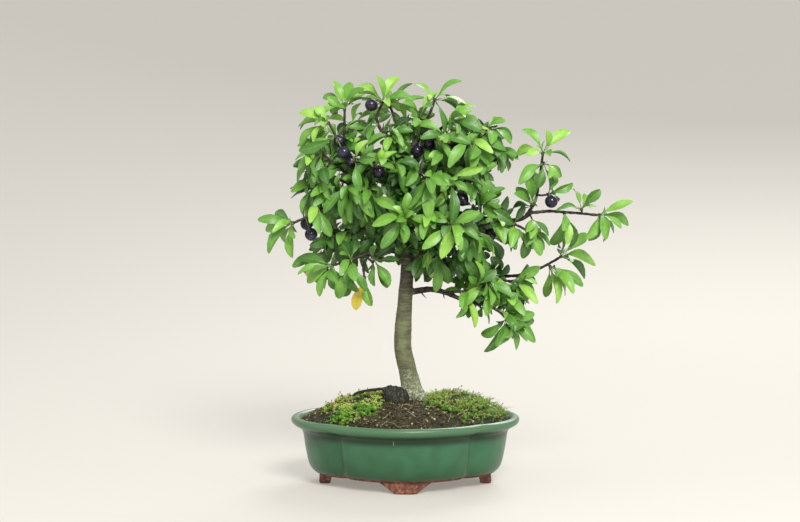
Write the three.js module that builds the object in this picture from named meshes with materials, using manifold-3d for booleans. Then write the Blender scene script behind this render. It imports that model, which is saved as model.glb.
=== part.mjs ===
// A blackthorn bonsai rooted in a green glazed pot with four lobes.
// Millimetres, +Z up. The tree's best side faces -Y, and the pot's middle is the origin of the sizes
// below; the finished group is then moved so that its box stands centred on the origin.
import * as THREE from "three";
import { mergeVertices } from "three/addons/utils/BufferGeometryUtils.js";
import Module from "manifold-3d";

const wasm = await Module();
wasm.setup();

// Gaps
const GAP = 0.35; // between neighbouring pieces
const LEAST_GAP = 0.25; // a leaf that comes nearer to another piece is bent clear
const SLIVER = 0.012; // edges shorter than this are smoothed away after a join
const CROSSING = 0.001; // mm³ below which two growths of one spray count as not crossing

// Where the tree is looked at from: the places of limbs are given as they appear from here
const EYE_DISTANCE = 2145;
const EYE_ACROSS = -6;
const EYE_HEIGHT = 411;
const LIFT = 2.2; // how much higher than given the whole tree stands in the soil

// Pot: four lobes, each an arc; the outline is drawn in by an inset at each height. The front and back
// arcs are centred beyond the middle, away from their own sides.
const SIDE_LOBE = { centre: 50, radius: 79.4 };
const FRONT_LOBE = { beyond: 16.5, radius: 121.7 };
const LOBE_STEPS = 4; // straight steps on each half lobe
const POT_OUTSIDE = [ // [height, inset], from the foot ring up and over the flaring rim
  [12, 31], [16, 24], [23, 20], [40, 16.2], [54, 14], [61, 10.5], [67, 3.2], [72, 0], [75.5, 1.8],
  [76.5, 5],
];
const POT_INSIDE = [[74.5, 9.5], [68, 13], [60, 20], [26, 26], [20, 34]];
const FLOOR = 20;
const FOOT = { sunk: 3, thick: 13, widths: [[15, 58], [5, 34], [0, 26]] };
const FOOT_REACH = { side: 97, front: 76.5 };
const DRAIN = { across: 45, radius: 9 };
const SCREEN = { side: 32, thick: 1, bars: 2, opening: 11 };

// Soil
const SOIL_EDGE = { height: 72, inset: 11.6 };
const SOIL_RISE = 22; // the mound's height above the soil's edge
const SOIL_RINGS = [0.88, 0.68, 0.45, 0.22];
const SOIL_CLEAR = 0.7; // between the soil and the pot's wall

// Ground cover: an oval cushion on each side of the trunk
const CUSHIONS = {
  moss_left: { centre: [-57, -8], half: [34, 58], height: 7, lump: 1.6 },
  moss_right: { centre: [69, -6], half: [43, 53], height: 10, lump: 2.2 },
};

// Sloes
const SLOE_RADIUS = 7.1;
const STALK_RADIUS = 0.75;

// Shoots and leaves
const BUD_RADIUS = 1.9; // the knob at a shoot's end, from whose faces the leaves grow
const TWIG = { thick: 1.8, thin: 1.3 };
const SPUR_RADIUS = 1.25;
const LEAF_LENGTH = 39;
const LEAF_WIDTH = 13;
const LEAF_ARCH = 0.11; // height of the leaf's arch as a share of its length
const LEAF_STATIONS = [ // [share of the length, share of the half width, keel depth, lift of the edges]
  [0.19, 0.11, 0.4, 0.3], [0.5, 0.92, 0.5, 0.4], [0.78, 0.84, 0.5, 0.4],
];
const CROWN = { height: 300, depth: 15 }; // what the leaves' upper sides turn away from
const LEAN = [4, 28]; // degrees that leaves lean to the front and back in turn, least and range
const STEEPEST = 0.4; // least cosine between a leaf and the bud's face that it grows from
const TRIES = [ // [turn on the clock, lean in depth] in degrees, tried in order until a leaf is clear
  [0, 0], [0, 13], [0, -13], [7, 26], [-7, -26], [-9, 20], [9, -20], [0, 40], [0, -40], [16, 8], [-16, -8],
  [24, 30], [-24, -30],
];

// A repeatable draw between 0 and 1 for three whole numbers.
function draw(a, b, c) {
  const wave = Math.sin(a * 127.1 + b * 311.7 + c * 74.7) * 43758.5453;
  return wave - Math.floor(wave);
}

// The point that appears at this place across and up from the eye, at a depth behind the pot's middle.
function seen([across, up, depth]) {
  const spread = 1 + depth / EYE_DISTANCE;
  return new THREE.Vector3(
    EYE_ACROSS + (across - EYE_ACROSS) * spread,
    depth,
    EYE_HEIGHT + (up - EYE_HEIGHT) * spread + LIFT,
  );
}

// A solid from three.js geometry.
function solid(geometry) {
  const bare = geometry.clone();
  bare.deleteAttribute("normal");
  bare.deleteAttribute("uv");
  const merged = mergeVertices(bare, 1e-4);
  return new wasm.Manifold(new wasm.Mesh({
    numProp: 3,
    vertProperties: new Float32Array(merged.attributes.position.array),
    triVerts: new Uint32Array(merged.index.array),
  }));
}

// A solid from loose triangles that close on each other.
const solidOf = (triangles) => solid(new THREE.BufferGeometry().setFromPoints(triangles.flat()));

const middleOf = (points) =>
  points.reduce((sum, point) => sum.add(point), new THREE.Vector3()).divideScalar(points.length);

// The triangles between rings of points, each ring running counter-clockwise as seen from the ring
// after it. All rings have equally many points, but the last may be a single tip.
function wallsBetween(rings) {
  const triangles = [];
  for (let k = 0; k + 1 < rings.length; k++) {
    const [near, far] = [rings[k], rings[k + 1]];
    near.forEach((a, i) => {
      const j = (i + 1) % near.length;
      if (far.length === 1) triangles.push([a, near[j], far[0]]);
      else triangles.push([a, near[j], far[j]], [a, far[j], far[i]]);
    });
  }
  return triangles;
}

// The triangles that close a ring, seen from the side that it runs counter-clockwise on.
function capOver(ring) {
  if (ring.length < 3) return [];
  if (ring.length === 3) return [[...ring]];
  const middle = middleOf(ring);
  return ring.map((a, i) => [middle, a, ring[(i + 1) % ring.length]]);
}

// A closed solid through rings of points.
const throughRings = (rings) =>
  solidOf([...wallsBetween(rings), ...capOver([...rings[0]].reverse()), ...capOver(rings.at(-1))]);

const smooth = (points) => new THREE.CatmullRomCurve3(points, false, "catmullrom", 0.5);
const nearest = (points, to) => points.reduce((a, b) => (a.distanceTo(to) <= b.distanceTo(to) ? a : b));
const union = (list) => wasm.Manifold.union(list);

// A tapered stem along a smooth curve through the given points, with a radius at each; grow makes it
// fatter and longer all round, for cutting room for it.
function stem(points, radii, sides, { steps = points.length - 1, grow = 0, flute = 0 } = {}) {
  const curve = smooth(points);
  const rings = [];
  let across = new THREE.Vector3(1, 0.2, 0.1);
  for (let k = 0; k <= steps; k++) {
    const along = k / steps;
    const place = along * (radii.length - 1);
    const before = Math.min(Math.floor(place), radii.length - 2);
    const radius = THREE.MathUtils.lerp(radii[before], radii[before + 1], place - before) + grow;
    const way = curve.getTangent(along);
    const middle = curve.getPoint(along);
    if (k === 0) middle.addScaledVector(way, -grow);
    if (k === steps) middle.addScaledVector(way, grow);
    across = across.clone().addScaledVector(way, -across.dot(way)).normalize();
    const other = new THREE.Vector3().crossVectors(way, across);
    const ring = [];
    for (let i = 0; i < sides; i++) {
      const angle = (i / sides) * Math.PI * 2;
      const r = radius * (1 + flute * Math.sin(3 * angle + 5 * along));
      ring.push(middle.clone().addScaledVector(across, r * Math.cos(angle))
        .addScaledVector(other, r * Math.sin(angle)));
    }
    rings.push(ring);
  }
  return throughRings(rings);
}

// The biggest body of a solid: loose scraps of a cut are dropped.
function biggest(piece) {
  return piece.decompose().sort((a, b) => b.volume() - a.volume())[0];
}

// Whether two boxes come nearer to each other than a distance.
function boxesNear(a, b, distance) {
  return [0, 1, 2].every((i) => a.min[i] - distance < b.max[i] && b.min[i] - distance < a.max[i]);
}

// Pot outline

// The angle at which the side lobe meets the front lobe, drawn in by an inset.
function creaseAngle(inset) {
  const apart = Math.hypot(SIDE_LOBE.centre, FRONT_LOBE.beyond);
  const side = SIDE_LOBE.radius - inset;
  const front = FRONT_LOBE.radius - inset;
  const along = (apart ** 2 + side ** 2 - front ** 2) / (2 * apart);
  const off = Math.sqrt(side ** 2 - along ** 2);
  const toFront = [-SIDE_LOBE.centre / apart, -FRONT_LOBE.beyond / apart];
  const x = SIDE_LOBE.centre + along * toFront[0] + off * toFront[1];
  const y = along * toFront[1] - off * toFront[0];
  return Math.atan2(y, x);
}

// The outline's distance from the middle at an angle, drawn in by an inset.
function outlineRadius(angle, inset) {
  const reach = (centreX, centreY, radius) => {
    const along = centreX * Math.cos(angle) + centreY * Math.sin(angle);
    const under = (radius - inset) ** 2 - centreX ** 2 - centreY ** 2 + along ** 2;
    return under < 0 ? 0 : along + Math.sqrt(under);
  };
  const { centre: side, radius: sideRadius } = SIDE_LOBE;
  const { beyond, radius: frontRadius } = FRONT_LOBE;
  return Math.max(
    reach(side, 0, sideRadius), reach(-side, 0, sideRadius),
    Math.min(reach(0, beyond, frontRadius), reach(0, -beyond, frontRadius)),
  );
}

// The outline's corner angles, with one on each crease.
function outlineAngles(inset) {
  const crease = creaseAngle(inset);
  const quarter = [];
  for (let i = 0; i < LOBE_STEPS; i++) quarter.push((crease * i) / LOBE_STEPS);
  for (let i = 0; i < LOBE_STEPS; i++) quarter.push(crease + ((Math.PI / 2 - crease) * i) / LOBE_STEPS);
  const mirrored = [...quarter.slice(1), Math.PI / 2].reverse().map((a) => Math.PI - a);
  const half = [...quarter, Math.PI / 2, ...mirrored.slice(1)];
  return [...half, ...half.map((a) => a + Math.PI)];
}

// One ring of the outline; height is a number, or a function of x and y.
function outlineRing(height, inset, share = 1) {
  return outlineAngles(inset).map((angle) => {
    const r = outlineRadius(angle, inset) * share;
    const x = r * Math.cos(angle);
    const y = r * Math.sin(angle);
    return new THREE.Vector3(x, y, typeof height === "function" ? height(x, y) : height);
  });
}

// A foot: a bracket that narrows downwards, standing under the pot's wall at an angle round it.
function footSolid(angle, reach) {
  const rings = [...FOOT.widths].reverse().map(([height, width]) => [
    [-width / 2, reach - FOOT.thick], [width / 2, reach - FOOT.thick],
    [width / 2, reach], [-width / 2, reach],
  ].map(([x, y]) => new THREE.Vector3(x, y, height).applyAxisAngle(new THREE.Vector3(0, 0, 1), angle)));
  return throughRings(rings);
}

function potSolid() {
  const rings = [...POT_OUTSIDE, ...POT_INSIDE].map(([height, inset]) => outlineRing(height, inset));
  const feet = [
    footSolid(0, FOOT_REACH.front), footSolid(Math.PI, FOOT_REACH.front),
    footSolid(Math.PI / 2, FOOT_REACH.side), footSolid(-Math.PI / 2, FOOT_REACH.side),
  ];
  const drains = [-1, 1].map((side) => {
    const drill = new THREE.CylinderGeometry(DRAIN.radius, DRAIN.radius, 2 * FLOOR, 12);
    drill.rotateX(Math.PI / 2).translate(side * DRAIN.across, 0, FLOOR / 2);
    return solid(drill);
  });
  return union([throughRings(rings), ...feet]).subtract(union(drains));
}

// A drain screen: a square of mesh lying on the pot's floor over a drain hole.
function screenSolid(side) {
  const level = FLOOR + GAP + SCREEN.thick / 2;
  const block = (width, height, x, y) => solid(
    new THREE.BoxGeometry(width, width, height).translate(side * DRAIN.across + x, y, level),
  );
  const pitch = SCREEN.side / SCREEN.bars;
  const mid = (SCREEN.bars - 1) / 2;
  const openings = [];
  for (let i = 0; i < SCREEN.bars; i++) {
    for (let j = 0; j < SCREEN.bars; j++) {
      openings.push(block(SCREEN.opening, 2 * SCREEN.thick, (i - mid) * pitch, (j - mid) * pitch));
    }
  }
  return block(SCREEN.side, SCREEN.thick, 0, 0).subtract(union(openings));
}

// Soil and ground cover

// The soil's height: a mound that falls off to the rim, with a slight relief.
function soilHeight(x, y) {
  const share = Math.hypot(x, y) / outlineRadius(Math.atan2(y, x), SOIL_EDGE.inset);
  const fall = Math.min(share, 1) ** 3;
  const relief = 0.9 * Math.sin(x / 9 + 1) * Math.cos(y / 11) * (1 - fall);
  return SOIL_EDGE.height + SOIL_RISE * (1 - fall) + relief;
}

// The filled soil, with recesses for the drain screens.
function soilSolid() {
  const wall = [...POT_INSIDE].reverse().slice(0, 4)
    .map(([height, inset]) => outlineRing(height, inset + SOIL_CLEAR));
  wall[0].forEach((point) => point.setZ(FLOOR + GAP));
  const top = SOIL_RINGS.map((share) => outlineRing(soilHeight, SOIL_EDGE.inset, share));
  const rings = [...wall, outlineRing(SOIL_EDGE.height, SOIL_EDGE.inset), ...top];
  const recesses = [-1, 1].map((side) => {
    const size = SCREEN.side + 2 * GAP;
    const room = new THREE.BoxGeometry(size, size, 2 * (SCREEN.thick + 2 * GAP));
    return solid(room.translate(side * DRAIN.across, 0, FLOOR + GAP));
  });
  return throughRings(rings).subtract(union(recesses));
}

// A cushion of ground cover: an oval mound with lumps, its underside cut by the soil and the roots.
function cushionSolid({ centre, half, height, lump }, ground) {
  const spokes = 14;
  const shares = [1, 0.75, 0.4];
  const ring = (share, buried) => Array.from({ length: spokes }, (_, i) => {
    const angle = (i / spokes) * Math.PI * 2;
    const wobble = 1 + 0.06 * Math.sin(3 * angle + centre[0]);
    const x = centre[0] + half[0] * share * wobble * Math.cos(angle);
    const y = centre[1] + half[1] * share * wobble * Math.sin(angle);
    if (buried) return new THREE.Vector3(x, y, soilHeight(x, y) - buried);
    const bump = lump * Math.sin(x / 4.6) * Math.cos(y / 5.3 + 1);
    return new THREE.Vector3(x, y, soilHeight(x, y) + 1.5 + (height + bump) * Math.sqrt(1 - share ** 2));
  });
  const mound = throughRings([ring(0.97, 4), ...shares.map((share) => ring(share, 0))]);
  return biggest(mound.subtract(ground));
}

// Tree

// Trunk and limbs: [across, up, depth] points from the base out, and the radius at each.
const TRUNK = {
  points: [
    [12, 40, 6], [11, 66, 5], [10, 88, 5], [8, 98, 4], [5, 114, 3], [2, 128, 2], [-2, 145, 0], [-3, 161, 0],
    [-2, 184, 0], [0, 207, 0], [2, 236, 0], [2, 261, 0], [-4, 289, 2], [-8, 317, 4], [-8, 340, 4],
    [-2, 360, 4], [8, 377, 2], [17, 396, 0],
  ],
  radii: [9, 14.5, 15.5, 12.6, 11, 9.9, 9.8, 9.6, 8.9, 8.2, 7.5, 6.9, 6.2, 5.2, 4.4, 3.8, 3.2, 2.6],
};
const LIMBS = {
  left_riser: [
    [[-4, 286, 2], [-17, 306, -2], [-34, 322, -6], [-54, 332, -10], [-60, 349, -12], [-65, 368, -12]],
    5, 2.6,
  ],
  left_far: [[[-48, 329, -9], [-68, 321, -20], [-86, 313, -28]], 2.8, 2.2],
  left_mid: [[[-3, 277, 2], [-20, 282, 8], [-43, 286, 12], [-68, 283, 10]], 3, 1.9],
  left_low: [[[1, 256, 0], [-17, 261, -10], [-34, 260, -18], [-49, 255, -24]], 3, 1.9],
  right_low: [
    [[2, 213, 0], [12, 215, -2], [30, 217, -12], [46, 213, -20], [60, 207, -26], [75, 203, -30]], 3.6, 1.9,
  ],
  right_long: [
    [[-8, 314, 4], [11, 311, -6], [39, 308, -14], [74, 299, -22], [107, 295, -28], [129, 296, -30],
      [144, 305, -32]],
    4, 2,
  ],
  right_mid: [[[-1, 272, 0], [22, 261, 14], [50, 247, 22], [78, 236, 20], [107, 231, 12]], 3.2, 1.9],
  right_high: [[[-7, 348, 4], [14, 359, -8], [39, 374, -16], [62, 387, -18]], 3, 2.2],
  front_right: [[[-3, 281, 0], [12, 288, -20], [25, 292, -38]], 2.6, 1.8],
  front_middle: [[[-3, 288, -2], [-2, 294, -24]], 2.4, 1.8],
  front_left: [[[-7, 340, 0], [-17, 351, -20], [-29, 360, -36]], 2.6, 1.8],
  front_high: [[[-7, 349, 0], [7, 349, -22], [21, 347, -40]], 2.6, 1.8],
  top_left: [[[1, 362, 4], [-13, 382, -6], [-27, 396, -10]], 2.8, 1.8],
  back_right: [[[-8, 322, 6], [8, 333, 32], [25, 342, 56]], 3, 1.9],
  back_left: [[[-8, 333, 6], [-25, 347, 32], [-45, 359, 56]], 3, 1.9],
  back_right_low: [[[2, 261, 4], [8, 271, 32], [22, 280, 58]], 3, 1.9],
  back_left_low: [[[-3, 279, 6], [-16, 287, 30], [-33, 292, 55]], 3, 1.9],
  back_top: [[[-1, 365, 6], [-2, 383, 28], [-8, 401, 46]], 2.8, 1.8],
};
const SURFACE_ROOT = [
  [[-12, 102, -4], [-24, 106, -6], [-36, 106, -6], [-48, 104, -6], [-58, 98, -5], [-64, 84, -4]], 2.1, 1.4,
];
const ROOT_STUBS = [
  { centre: [-10, 93, -12], half: [14, 13, 20] }, { centre: [-18, 101, -8], half: [6.5, 6.5, 6.5] },
];
const THORN = { length: 12, radius: 1.2, spacing: 38, clear: 0.8 };

// The radius at each point of a limb, tapering evenly.
function taper(count, thick, thin) {
  return Array.from({ length: count }, (_, i) => THREE.MathUtils.lerp(thick, thin, i / (count - 1)));
}

// Trunk, limbs, surface root and root stubs as separate solids, all fatter by grow.
function woodSolids(grow) {
  const wood = [stem(TRUNK.points.map(seen), TRUNK.radii, 11, { steps: 19, grow, flute: 0.04 })];
  for (const [points, thick, thin] of [...Object.values(LIMBS), SURFACE_ROOT]) {
    const steps = Math.ceil(1.25 * (points.length - 1));
    wood.push(stem(points.map(seen), taper(points.length, thick, thin), 5, { steps, grow }));
  }
  for (const { centre, half } of ROOT_STUBS) {
    const stub = new THREE.SphereGeometry(1, 8, 6);
    stub.scale(half[0] + grow, half[2] + grow, half[1] + grow);
    wood.push(solid(stub.translate(...seen(centre).toArray())));
  }
  return wood;
}

// Thorns along the limbs, turned round each limb from one to the next.
function thornSolids(grow, shoots) {
  const thorns = [];
  Object.values(LIMBS).forEach(([points, thick, thin], limb) => {
    const curve = smooth(points.map(seen));
    const count = Math.floor(curve.getLength() / THORN.spacing);
    for (let i = 1; i <= count; i++) {
      const along = (i + 0.5 * draw(2, limb, i)) / (count + 1);
      const base = curve.getPoint(along);
      const way = curve.getTangent(along);
      const side = new THREE.Vector3(0.1, 0.2, 1).cross(way).normalize()
        .applyAxisAngle(way, 2.4 * i + limb).addScaledVector(way, 0.35).normalize();
      const length = THORN.length * (0.5 + 0.5 * draw(3, limb, i));
      const reach = THREE.MathUtils.lerp(thick, thin, along) + length;
      const tip = base.clone().addScaledVector(side, reach + grow);
      const spoke = new THREE.Vector3().crossVectors(way, side);
      const foot = [0, 1, 2].map((k) => base.clone().addScaledVector(
        spoke.clone().applyAxisAngle(side, (k * 2 * Math.PI) / 3), THORN.radius + grow,
      ));
      const thorn = throughRings([foot, [tip]]);
      const box = thorn.boundingBox();
      const clear = shoots.every((shoot) => !boxesNear(box, shoot.boundingBox(), THORN.clear)
        || thorn.minGap(shoot, 2 * THORN.clear) > THORN.clear);
      if (clear) thorns.push(thorn);
    }
  });
  return thorns;
}

// Sprays: each a twig from its limb, with a leaf rosette at its end and others on spurs beside it.
// A rosette is [place, first clock angle, last clock angle, leaves]; its place is "end" or a point,
// and the clock is read from the front with 0 straight up and 90 to the right.
const SPRAYS = {
  crown_left: { twig: [[-65, 366, -12], [-68, 394, -12], [-68, 420, -12]],
    rosettes: [["end", -92, 44, 5], [[-60, 402, 6], 20, 290, 4]] },
  crown_top: { twig: [[-27, 394, -10], [-32, 410, -10], [-25, 428, -10]],
    rosettes: [["end", -92, 118, 6]] },
  left_shoulder: { twig: [[-61, 356, -12], [-71, 374, -20], [-79, 391, -28], [-86, 404, -28]],
    rosettes: [["end", 210, 325, 5], [[-78, 388, -42], 170, 250, 2]] },
  left_fringe: { twig: [[-58, 343, -12], [-73, 353, -20], [-86, 364, -22], [-93, 371, -22]],
    rosettes: [["end", 185, 290, 5], [[-90, 355, -36], 170, 225, 2]] },
  left_middle: { twig: [[-72, 319, -21], [-84, 326, -8], [-95, 332, -4]],
    rosettes: [["end", 170, 270, 5], [[-86, 337, -22], 165, 215, 2]] },
  left_tip: { twig: [[-85, 313, -28], [-104, 302, -34], [-126, 292, -38]],
    rosettes: [["end", 178, 300, 6], [[-99, 311, -46], 160, 215, 2]] },
  left_hanging: { twig: [[-67, 283, 10], [-84, 271, 6], [-92, 258, 4]],
    rosettes: [["end", 165, 250, 4], [[-80, 280, 20], 160, 230, 2]] },
  left_low: { twig: [[-48, 255, -24], [-66, 249, -28], [-82, 244, -30]],
    rosettes: [["end", 150, 290, 6], [[-62, 246, -38], 150, 195, 2]] },
  left_lowest: { twig: [[-40, 258, -20], [-47, 244, -20], [-46, 230, -22]],
    rosettes: [["end", 165, 200, 2], [[-37, 248, -28], 165, 185, 1], [[-17, 250, -20], 160, 185, 1]] },
  front_middle: { twig: [[-2, 294, -23], [-2, 296, -42], [-1, 298, -62]],
    rosettes: [["end", 178, 455, 7]] },
  front_left: { twig: [[-28, 360, -36], [-42, 362, -46], [-56, 361, -56]],
    rosettes: [["end", 172, 435, 6], [[-34, 357, -54], 20, 170, 3]] },
  front_left_low: { twig: [[-44, 327, -8], [-53, 332, -28], [-60, 335, -44]],
    rosettes: [["end", 145, 225, 4], [[-40, 330, -40], 160, 200, 2]] },
  front_high: { twig: [[20, 347, -39], [34, 343, -52], [50, 340, -62]],
    rosettes: [["end", 60, 240, 4], [[24, 342, -60], 100, 215, 4]] },
  leader: { twig: [[16, 394, 0], [27, 414, -2], [33, 430, -2]],
    rosettes: [["end", 58, 316, 6], [[16, 409, -12], 185, 395, 4]] },
  right_top: { twig: [[12, 384, 2], [28, 391, -6], [49, 404, -14]],
    rosettes: [["end", 50, 150, 4], [[34, 386, -28], 85, 250, 4]] },
  right_tip: { twig: [[61, 386, -18], [78, 391, -18], [91, 397, -18]],
    rosettes: [["end", 55, 295, 6], [[72, 384, -34], 95, 220, 4]] },
  right_shoulder: { twig: [[50, 380, -17], [76, 376, -4], [99, 375, -10]],
    rosettes: [["end", 110, 215, 5], [[82, 366, -18], 165, 205, 2]] },
  right_centre: { twig: [[39, 308, -14], [48, 324, -24], [68, 340, -30]],
    rosettes: [["end", 60, 200, 4], [[40, 326, -42], 175, 215, 2]] },
  front_right: { twig: [[24, 292, -37], [38, 292, -56], [51, 289, -72]],
    rosettes: [["end", 60, 235, 5], [[24, 303, -54], 100, 200, 2]] },
  right_hanging: { twig: [[84, 298, -24], [83, 289, -38], [75, 280, -51]],
    rosettes: [["end", 110, 200, 3], [[96, 292, -42], 130, 195, 3], [[85, 313, -34], 50, 125, 3]] },
  right_inner: { twig: [[114, 295, -29], [124, 290, -34], [136, 284, -42]],
    rosettes: [["end", 112, 185, 5]] },
  sprig: { twig: [[135, 299, -31], [146, 317, -30], [151, 345, -30], [154, 370, -28]],
    rosettes: [["end", -80, 95, 5], [[155, 359, -42], 120, 235, 4],
      [[142, 312, -40], -45, 0, 2], [[160, 324, -34], 20, 110, 2]] },
  right_far: { twig: [[143, 304, -32], [165, 305, -32], [192, 303, -34], [218, 301, -36]],
    rosettes: [["end", 65, 215, 7], [[198, 307, -42], -80, 40, 3], [[179, 302, -42], 165, 190, 1]] },
  low_right_tip: { twig: [[106, 231, 12], [132, 234, 6], [156, 243, 0], [175, 254, 0]],
    rosettes: [["end", 0, 120, 4], [[163, 243, -12], 120, 185, 4]] },
  low_right_front: { twig: [[95, 233, 15], [104, 228, -2], [121, 226, -18]],
    rosettes: [["end", 60, 190, 6], [[94, 238, -10], 150, 230, 2]] },
  lowest_tip: { twig: [[74, 203, -30], [97, 197, -34], [115, 184, -36]],
    rosettes: [["end", 70, 235, 8], [[110, 206, -26], 85, 160, 3]] },
  lowest_middle: { twig: [[66, 205, -28], [78, 214, -36], [91, 226, -40]],
    rosettes: [["end", 120, 235, 5], [[80, 220, -46], -30, 40, 2]] },
  lowest_inner: { twig: [[46, 213, -20], [56, 214, -30], [67, 215, -38]],
    rosettes: [["end", 165, 190, 2]] },
  trunk_right: { twig: [[4, 247, 0], [14, 255, -14], [26, 262, -22]],
    rosettes: [["end", 140, 205, 3], [[34, 254, -32], 150, 200, 2]] },
  middle_low: { twig: [[50, 247, 22], [55, 255, 0], [62, 262, -20]],
    rosettes: [["end", 145, 215, 3], [[70, 254, -6], 140, 200, 2]] },
  back_right: { twig: [[24, 342, 55], [39, 349, 76], [54, 355, 96]],
    rosettes: [["end", 10, 300, 5], [[34, 338, 80], 110, 260, 2], [[46, 362, 72], -60, 100, 2]] },
  back_left: { twig: [[-44, 359, 55], [-57, 365, 74], [-69, 371, 90]],
    rosettes: [["end", 150, 420, 5], [[-44, 352, 74], 110, 250, 2], [[-66, 376, 64], -100, 60, 2]] },
  back_right_low: { twig: [[21, 280, 57], [32, 283, 78], [41, 286, 98]],
    rosettes: [["end", 50, 290, 5], [[20, 274, 78], 130, 260, 2], [[42, 292, 70], 20, 130, 2]] },
  back_left_low: { twig: [[-32, 292, 54], [-42, 294, 72], [-51, 292, 90]],
    rosettes: [["end", 90, 330, 5], [[-30, 284, 72], 120, 230, 2], [[-54, 300, 66], 200, 340, 2]] },
  back_top: { twig: [[-8, 400, 45], [-13, 412, 54], [-17, 422, 60]],
    rosettes: [["end", -120, 150, 6], [[0, 404, 58], 60, 220, 2]] },
  back_far_right: { twig: [[40, 375, -16], [57, 373, 14], [75, 375, 44]],
    rosettes: [["end", 10, 220, 5], [[60, 364, 30], 110, 240, 2], [[78, 386, 22], 45, 110, 2]] },
  back_low_right: { twig: [[74, 299, -22], [82, 290, 10], [89, 280, 44]],
    rosettes: [["end", 40, 250, 5], [[72, 288, 30], 130, 270, 2], [[100, 292, 24], 30, 140, 2]] },
  back_low_left: { twig: [[-44, 286, 12], [-60, 279, 34], [-74, 267, 52]],
    rosettes: [["end", 120, 320, 5], [[-54, 270, 46], 120, 210, 2], [[-76, 284, 36], 240, 340, 2]] },
  back_far_left: { twig: [[-55, 333, -10], [-72, 340, 20], [-88, 349, 46]],
    rosettes: [["end", 150, 350, 5], [[-72, 332, 40], 130, 240, 2], [[-88, 354, 24], 220, 330, 2]] },
};

// Sloes, as they hang among the leaves
const SLOES = [
  [-111, 291, -30], [-106, 279, -52], [-74, 384, -27], [-69, 371, -43], [-61, 361, -28], [-30, 349, -47],
  [13, 373, -15], [27, 381, -14], [64, 318, -42], [164, 316, -40], [96, 279, -34], [-38, 424, -18],
  [42, 329, 72], [-62, 348, 72],
];

// Shoots: buds, the woody arms that carry them, and their leaves. An arm or a leaf grows from one
// face of the bud's twenty-sided knob, so that a whole shoot is one closed surface.

function budFaces(centre) {
  const corners = new THREE.IcosahedronGeometry(BUD_RADIUS, 0).attributes.position;
  const faces = [];
  for (let i = 0; i < corners.count; i += 3) {
    faces.push([0, 1, 2].map((k) => new THREE.Vector3().fromBufferAttribute(corners, i + k).add(centre)));
  }
  return faces;
}

// The free face of a bud that looks most along a way, with how well it does.
function facing(bud, way) {
  const fits = bud.faces.map((face) => middleOf(face).sub(bud.centre).normalize().dot(way));
  const best = fits.reduce((a, fit, i) => (!bud.taken.has(i) && (a < 0 || fit > fits[a]) ? i : a), -1);
  return { index: best, fit: fits[best] };
}

// What grows from a face of a bud: the walls stay with the bud, the closed solid is for testing.
function growth(bud, index, rings) {
  const root = bud.faces[index];
  const walls = [...wallsBetween([root, ...rings]), ...capOver(rings.at(-1))];
  return { index, walls, piece: solidOf([...walls, [...root].reverse()]) };
}

// A ring of three grown by the gap on each of its sides.
function widened(ring) {
  const middle = middleOf(ring);
  return ring.map((corner) => corner.clone().lerp(middle, -2 * GAP / corner.distanceTo(middle)));
}

// A three-sided woody arm from a bud through the given points, and the room to cut for it.
function woodyArm(bud, points, radii) {
  const ways = points.map((point, k) => point.clone().sub(k ? points[k - 1] : bud.centre).normalize());
  const { index } = facing(bud, ways[0]);
  const root = bud.faces[index];
  let spoke = root[0].clone().sub(middleOf(root));
  const rings = points.map((point, k) => {
    spoke = spoke.clone().addScaledVector(ways[k], -spoke.dot(ways[k])).normalize();
    return [0, 1, 2].map((corner) => point.clone()
      .addScaledVector(spoke.clone().applyAxisAngle(ways[k], (corner * 2 * Math.PI) / 3), radii[k]));
  });
  return { ...growth(bud, index, rings), room: throughRings([root, ...rings].map(widened)) };
}

// The shoots of one spray: a bud with its arm back to the limb, or back to the twig as a spur.
function sprayShoots({ twig, rosettes }) {
  const curve = smooth(twig.map(seen));
  const steps = twig.length + 1;
  return rosettes.map(([place, ...fan]) => {
    const ends = place === "end";
    const centre = ends ? curve.getPoint(1) : seen(place);
    const line = ends
      ? Array.from({ length: steps }, (_, k) => curve.getPoint(1 - (k + 1) / steps))
      : [nearest(curve.getPoints(12), centre)];
    const radii = ends ? taper(steps + 1, TWIG.thin, TWIG.thick).slice(1) : [SPUR_RADIUS];
    const bud = { centre, faces: budFaces(centre), taken: new Set(), fan, line };
    bud.shoot = centre.clone().sub(line[0]).normalize();
    bud.arm = woodyArm(bud, line, radii);
    bud.taken.add(bud.arm.index);
    bud.growths = [bud.arm];
    return bud;
  });
}

const sprayBuds = Object.fromEntries(
  Object.entries(SPRAYS).map(([name, spray]) => [name, sprayShoots(spray)]),
);
const allBuds = Object.entries(sprayBuds).flatMap(([owner, buds]) => buds.map((bud) => ({ owner, bud })));

// Each bud and arm with its owner, and room for all of them.
const twigs = allBuds.flatMap(({ owner, bud }) =>
  [solidOf(bud.faces), bud.arm.piece].map((piece) => ({ owner, piece })));
const twigRoom = union(allBuds.flatMap(({ bud }) => [
  bud.arm.room,
  solid(new THREE.IcosahedronGeometry(BUD_RADIUS + 1.4 * GAP, 0).translate(...bud.centre.toArray())),
]));

const thorns = thornSolids(0, twigs.map(({ piece }) => piece));
const tree = union([...woodSolids(0), ...thorns]);
const treeRoom = union([...woodSolids(GAP), ...thornSolids(GAP, twigs.map(({ piece }) => piece))]);

// A sloe hangs by its stalk from the nearest stem.
const stemPoints = [
  ...Object.values(LIMBS).flatMap(([points]) => smooth(points.map(seen)).getPoints(30)),
  ...allBuds.flatMap(({ bud }) => smooth([bud.centre, ...bud.line]).getPoints(14)),
];

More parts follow.
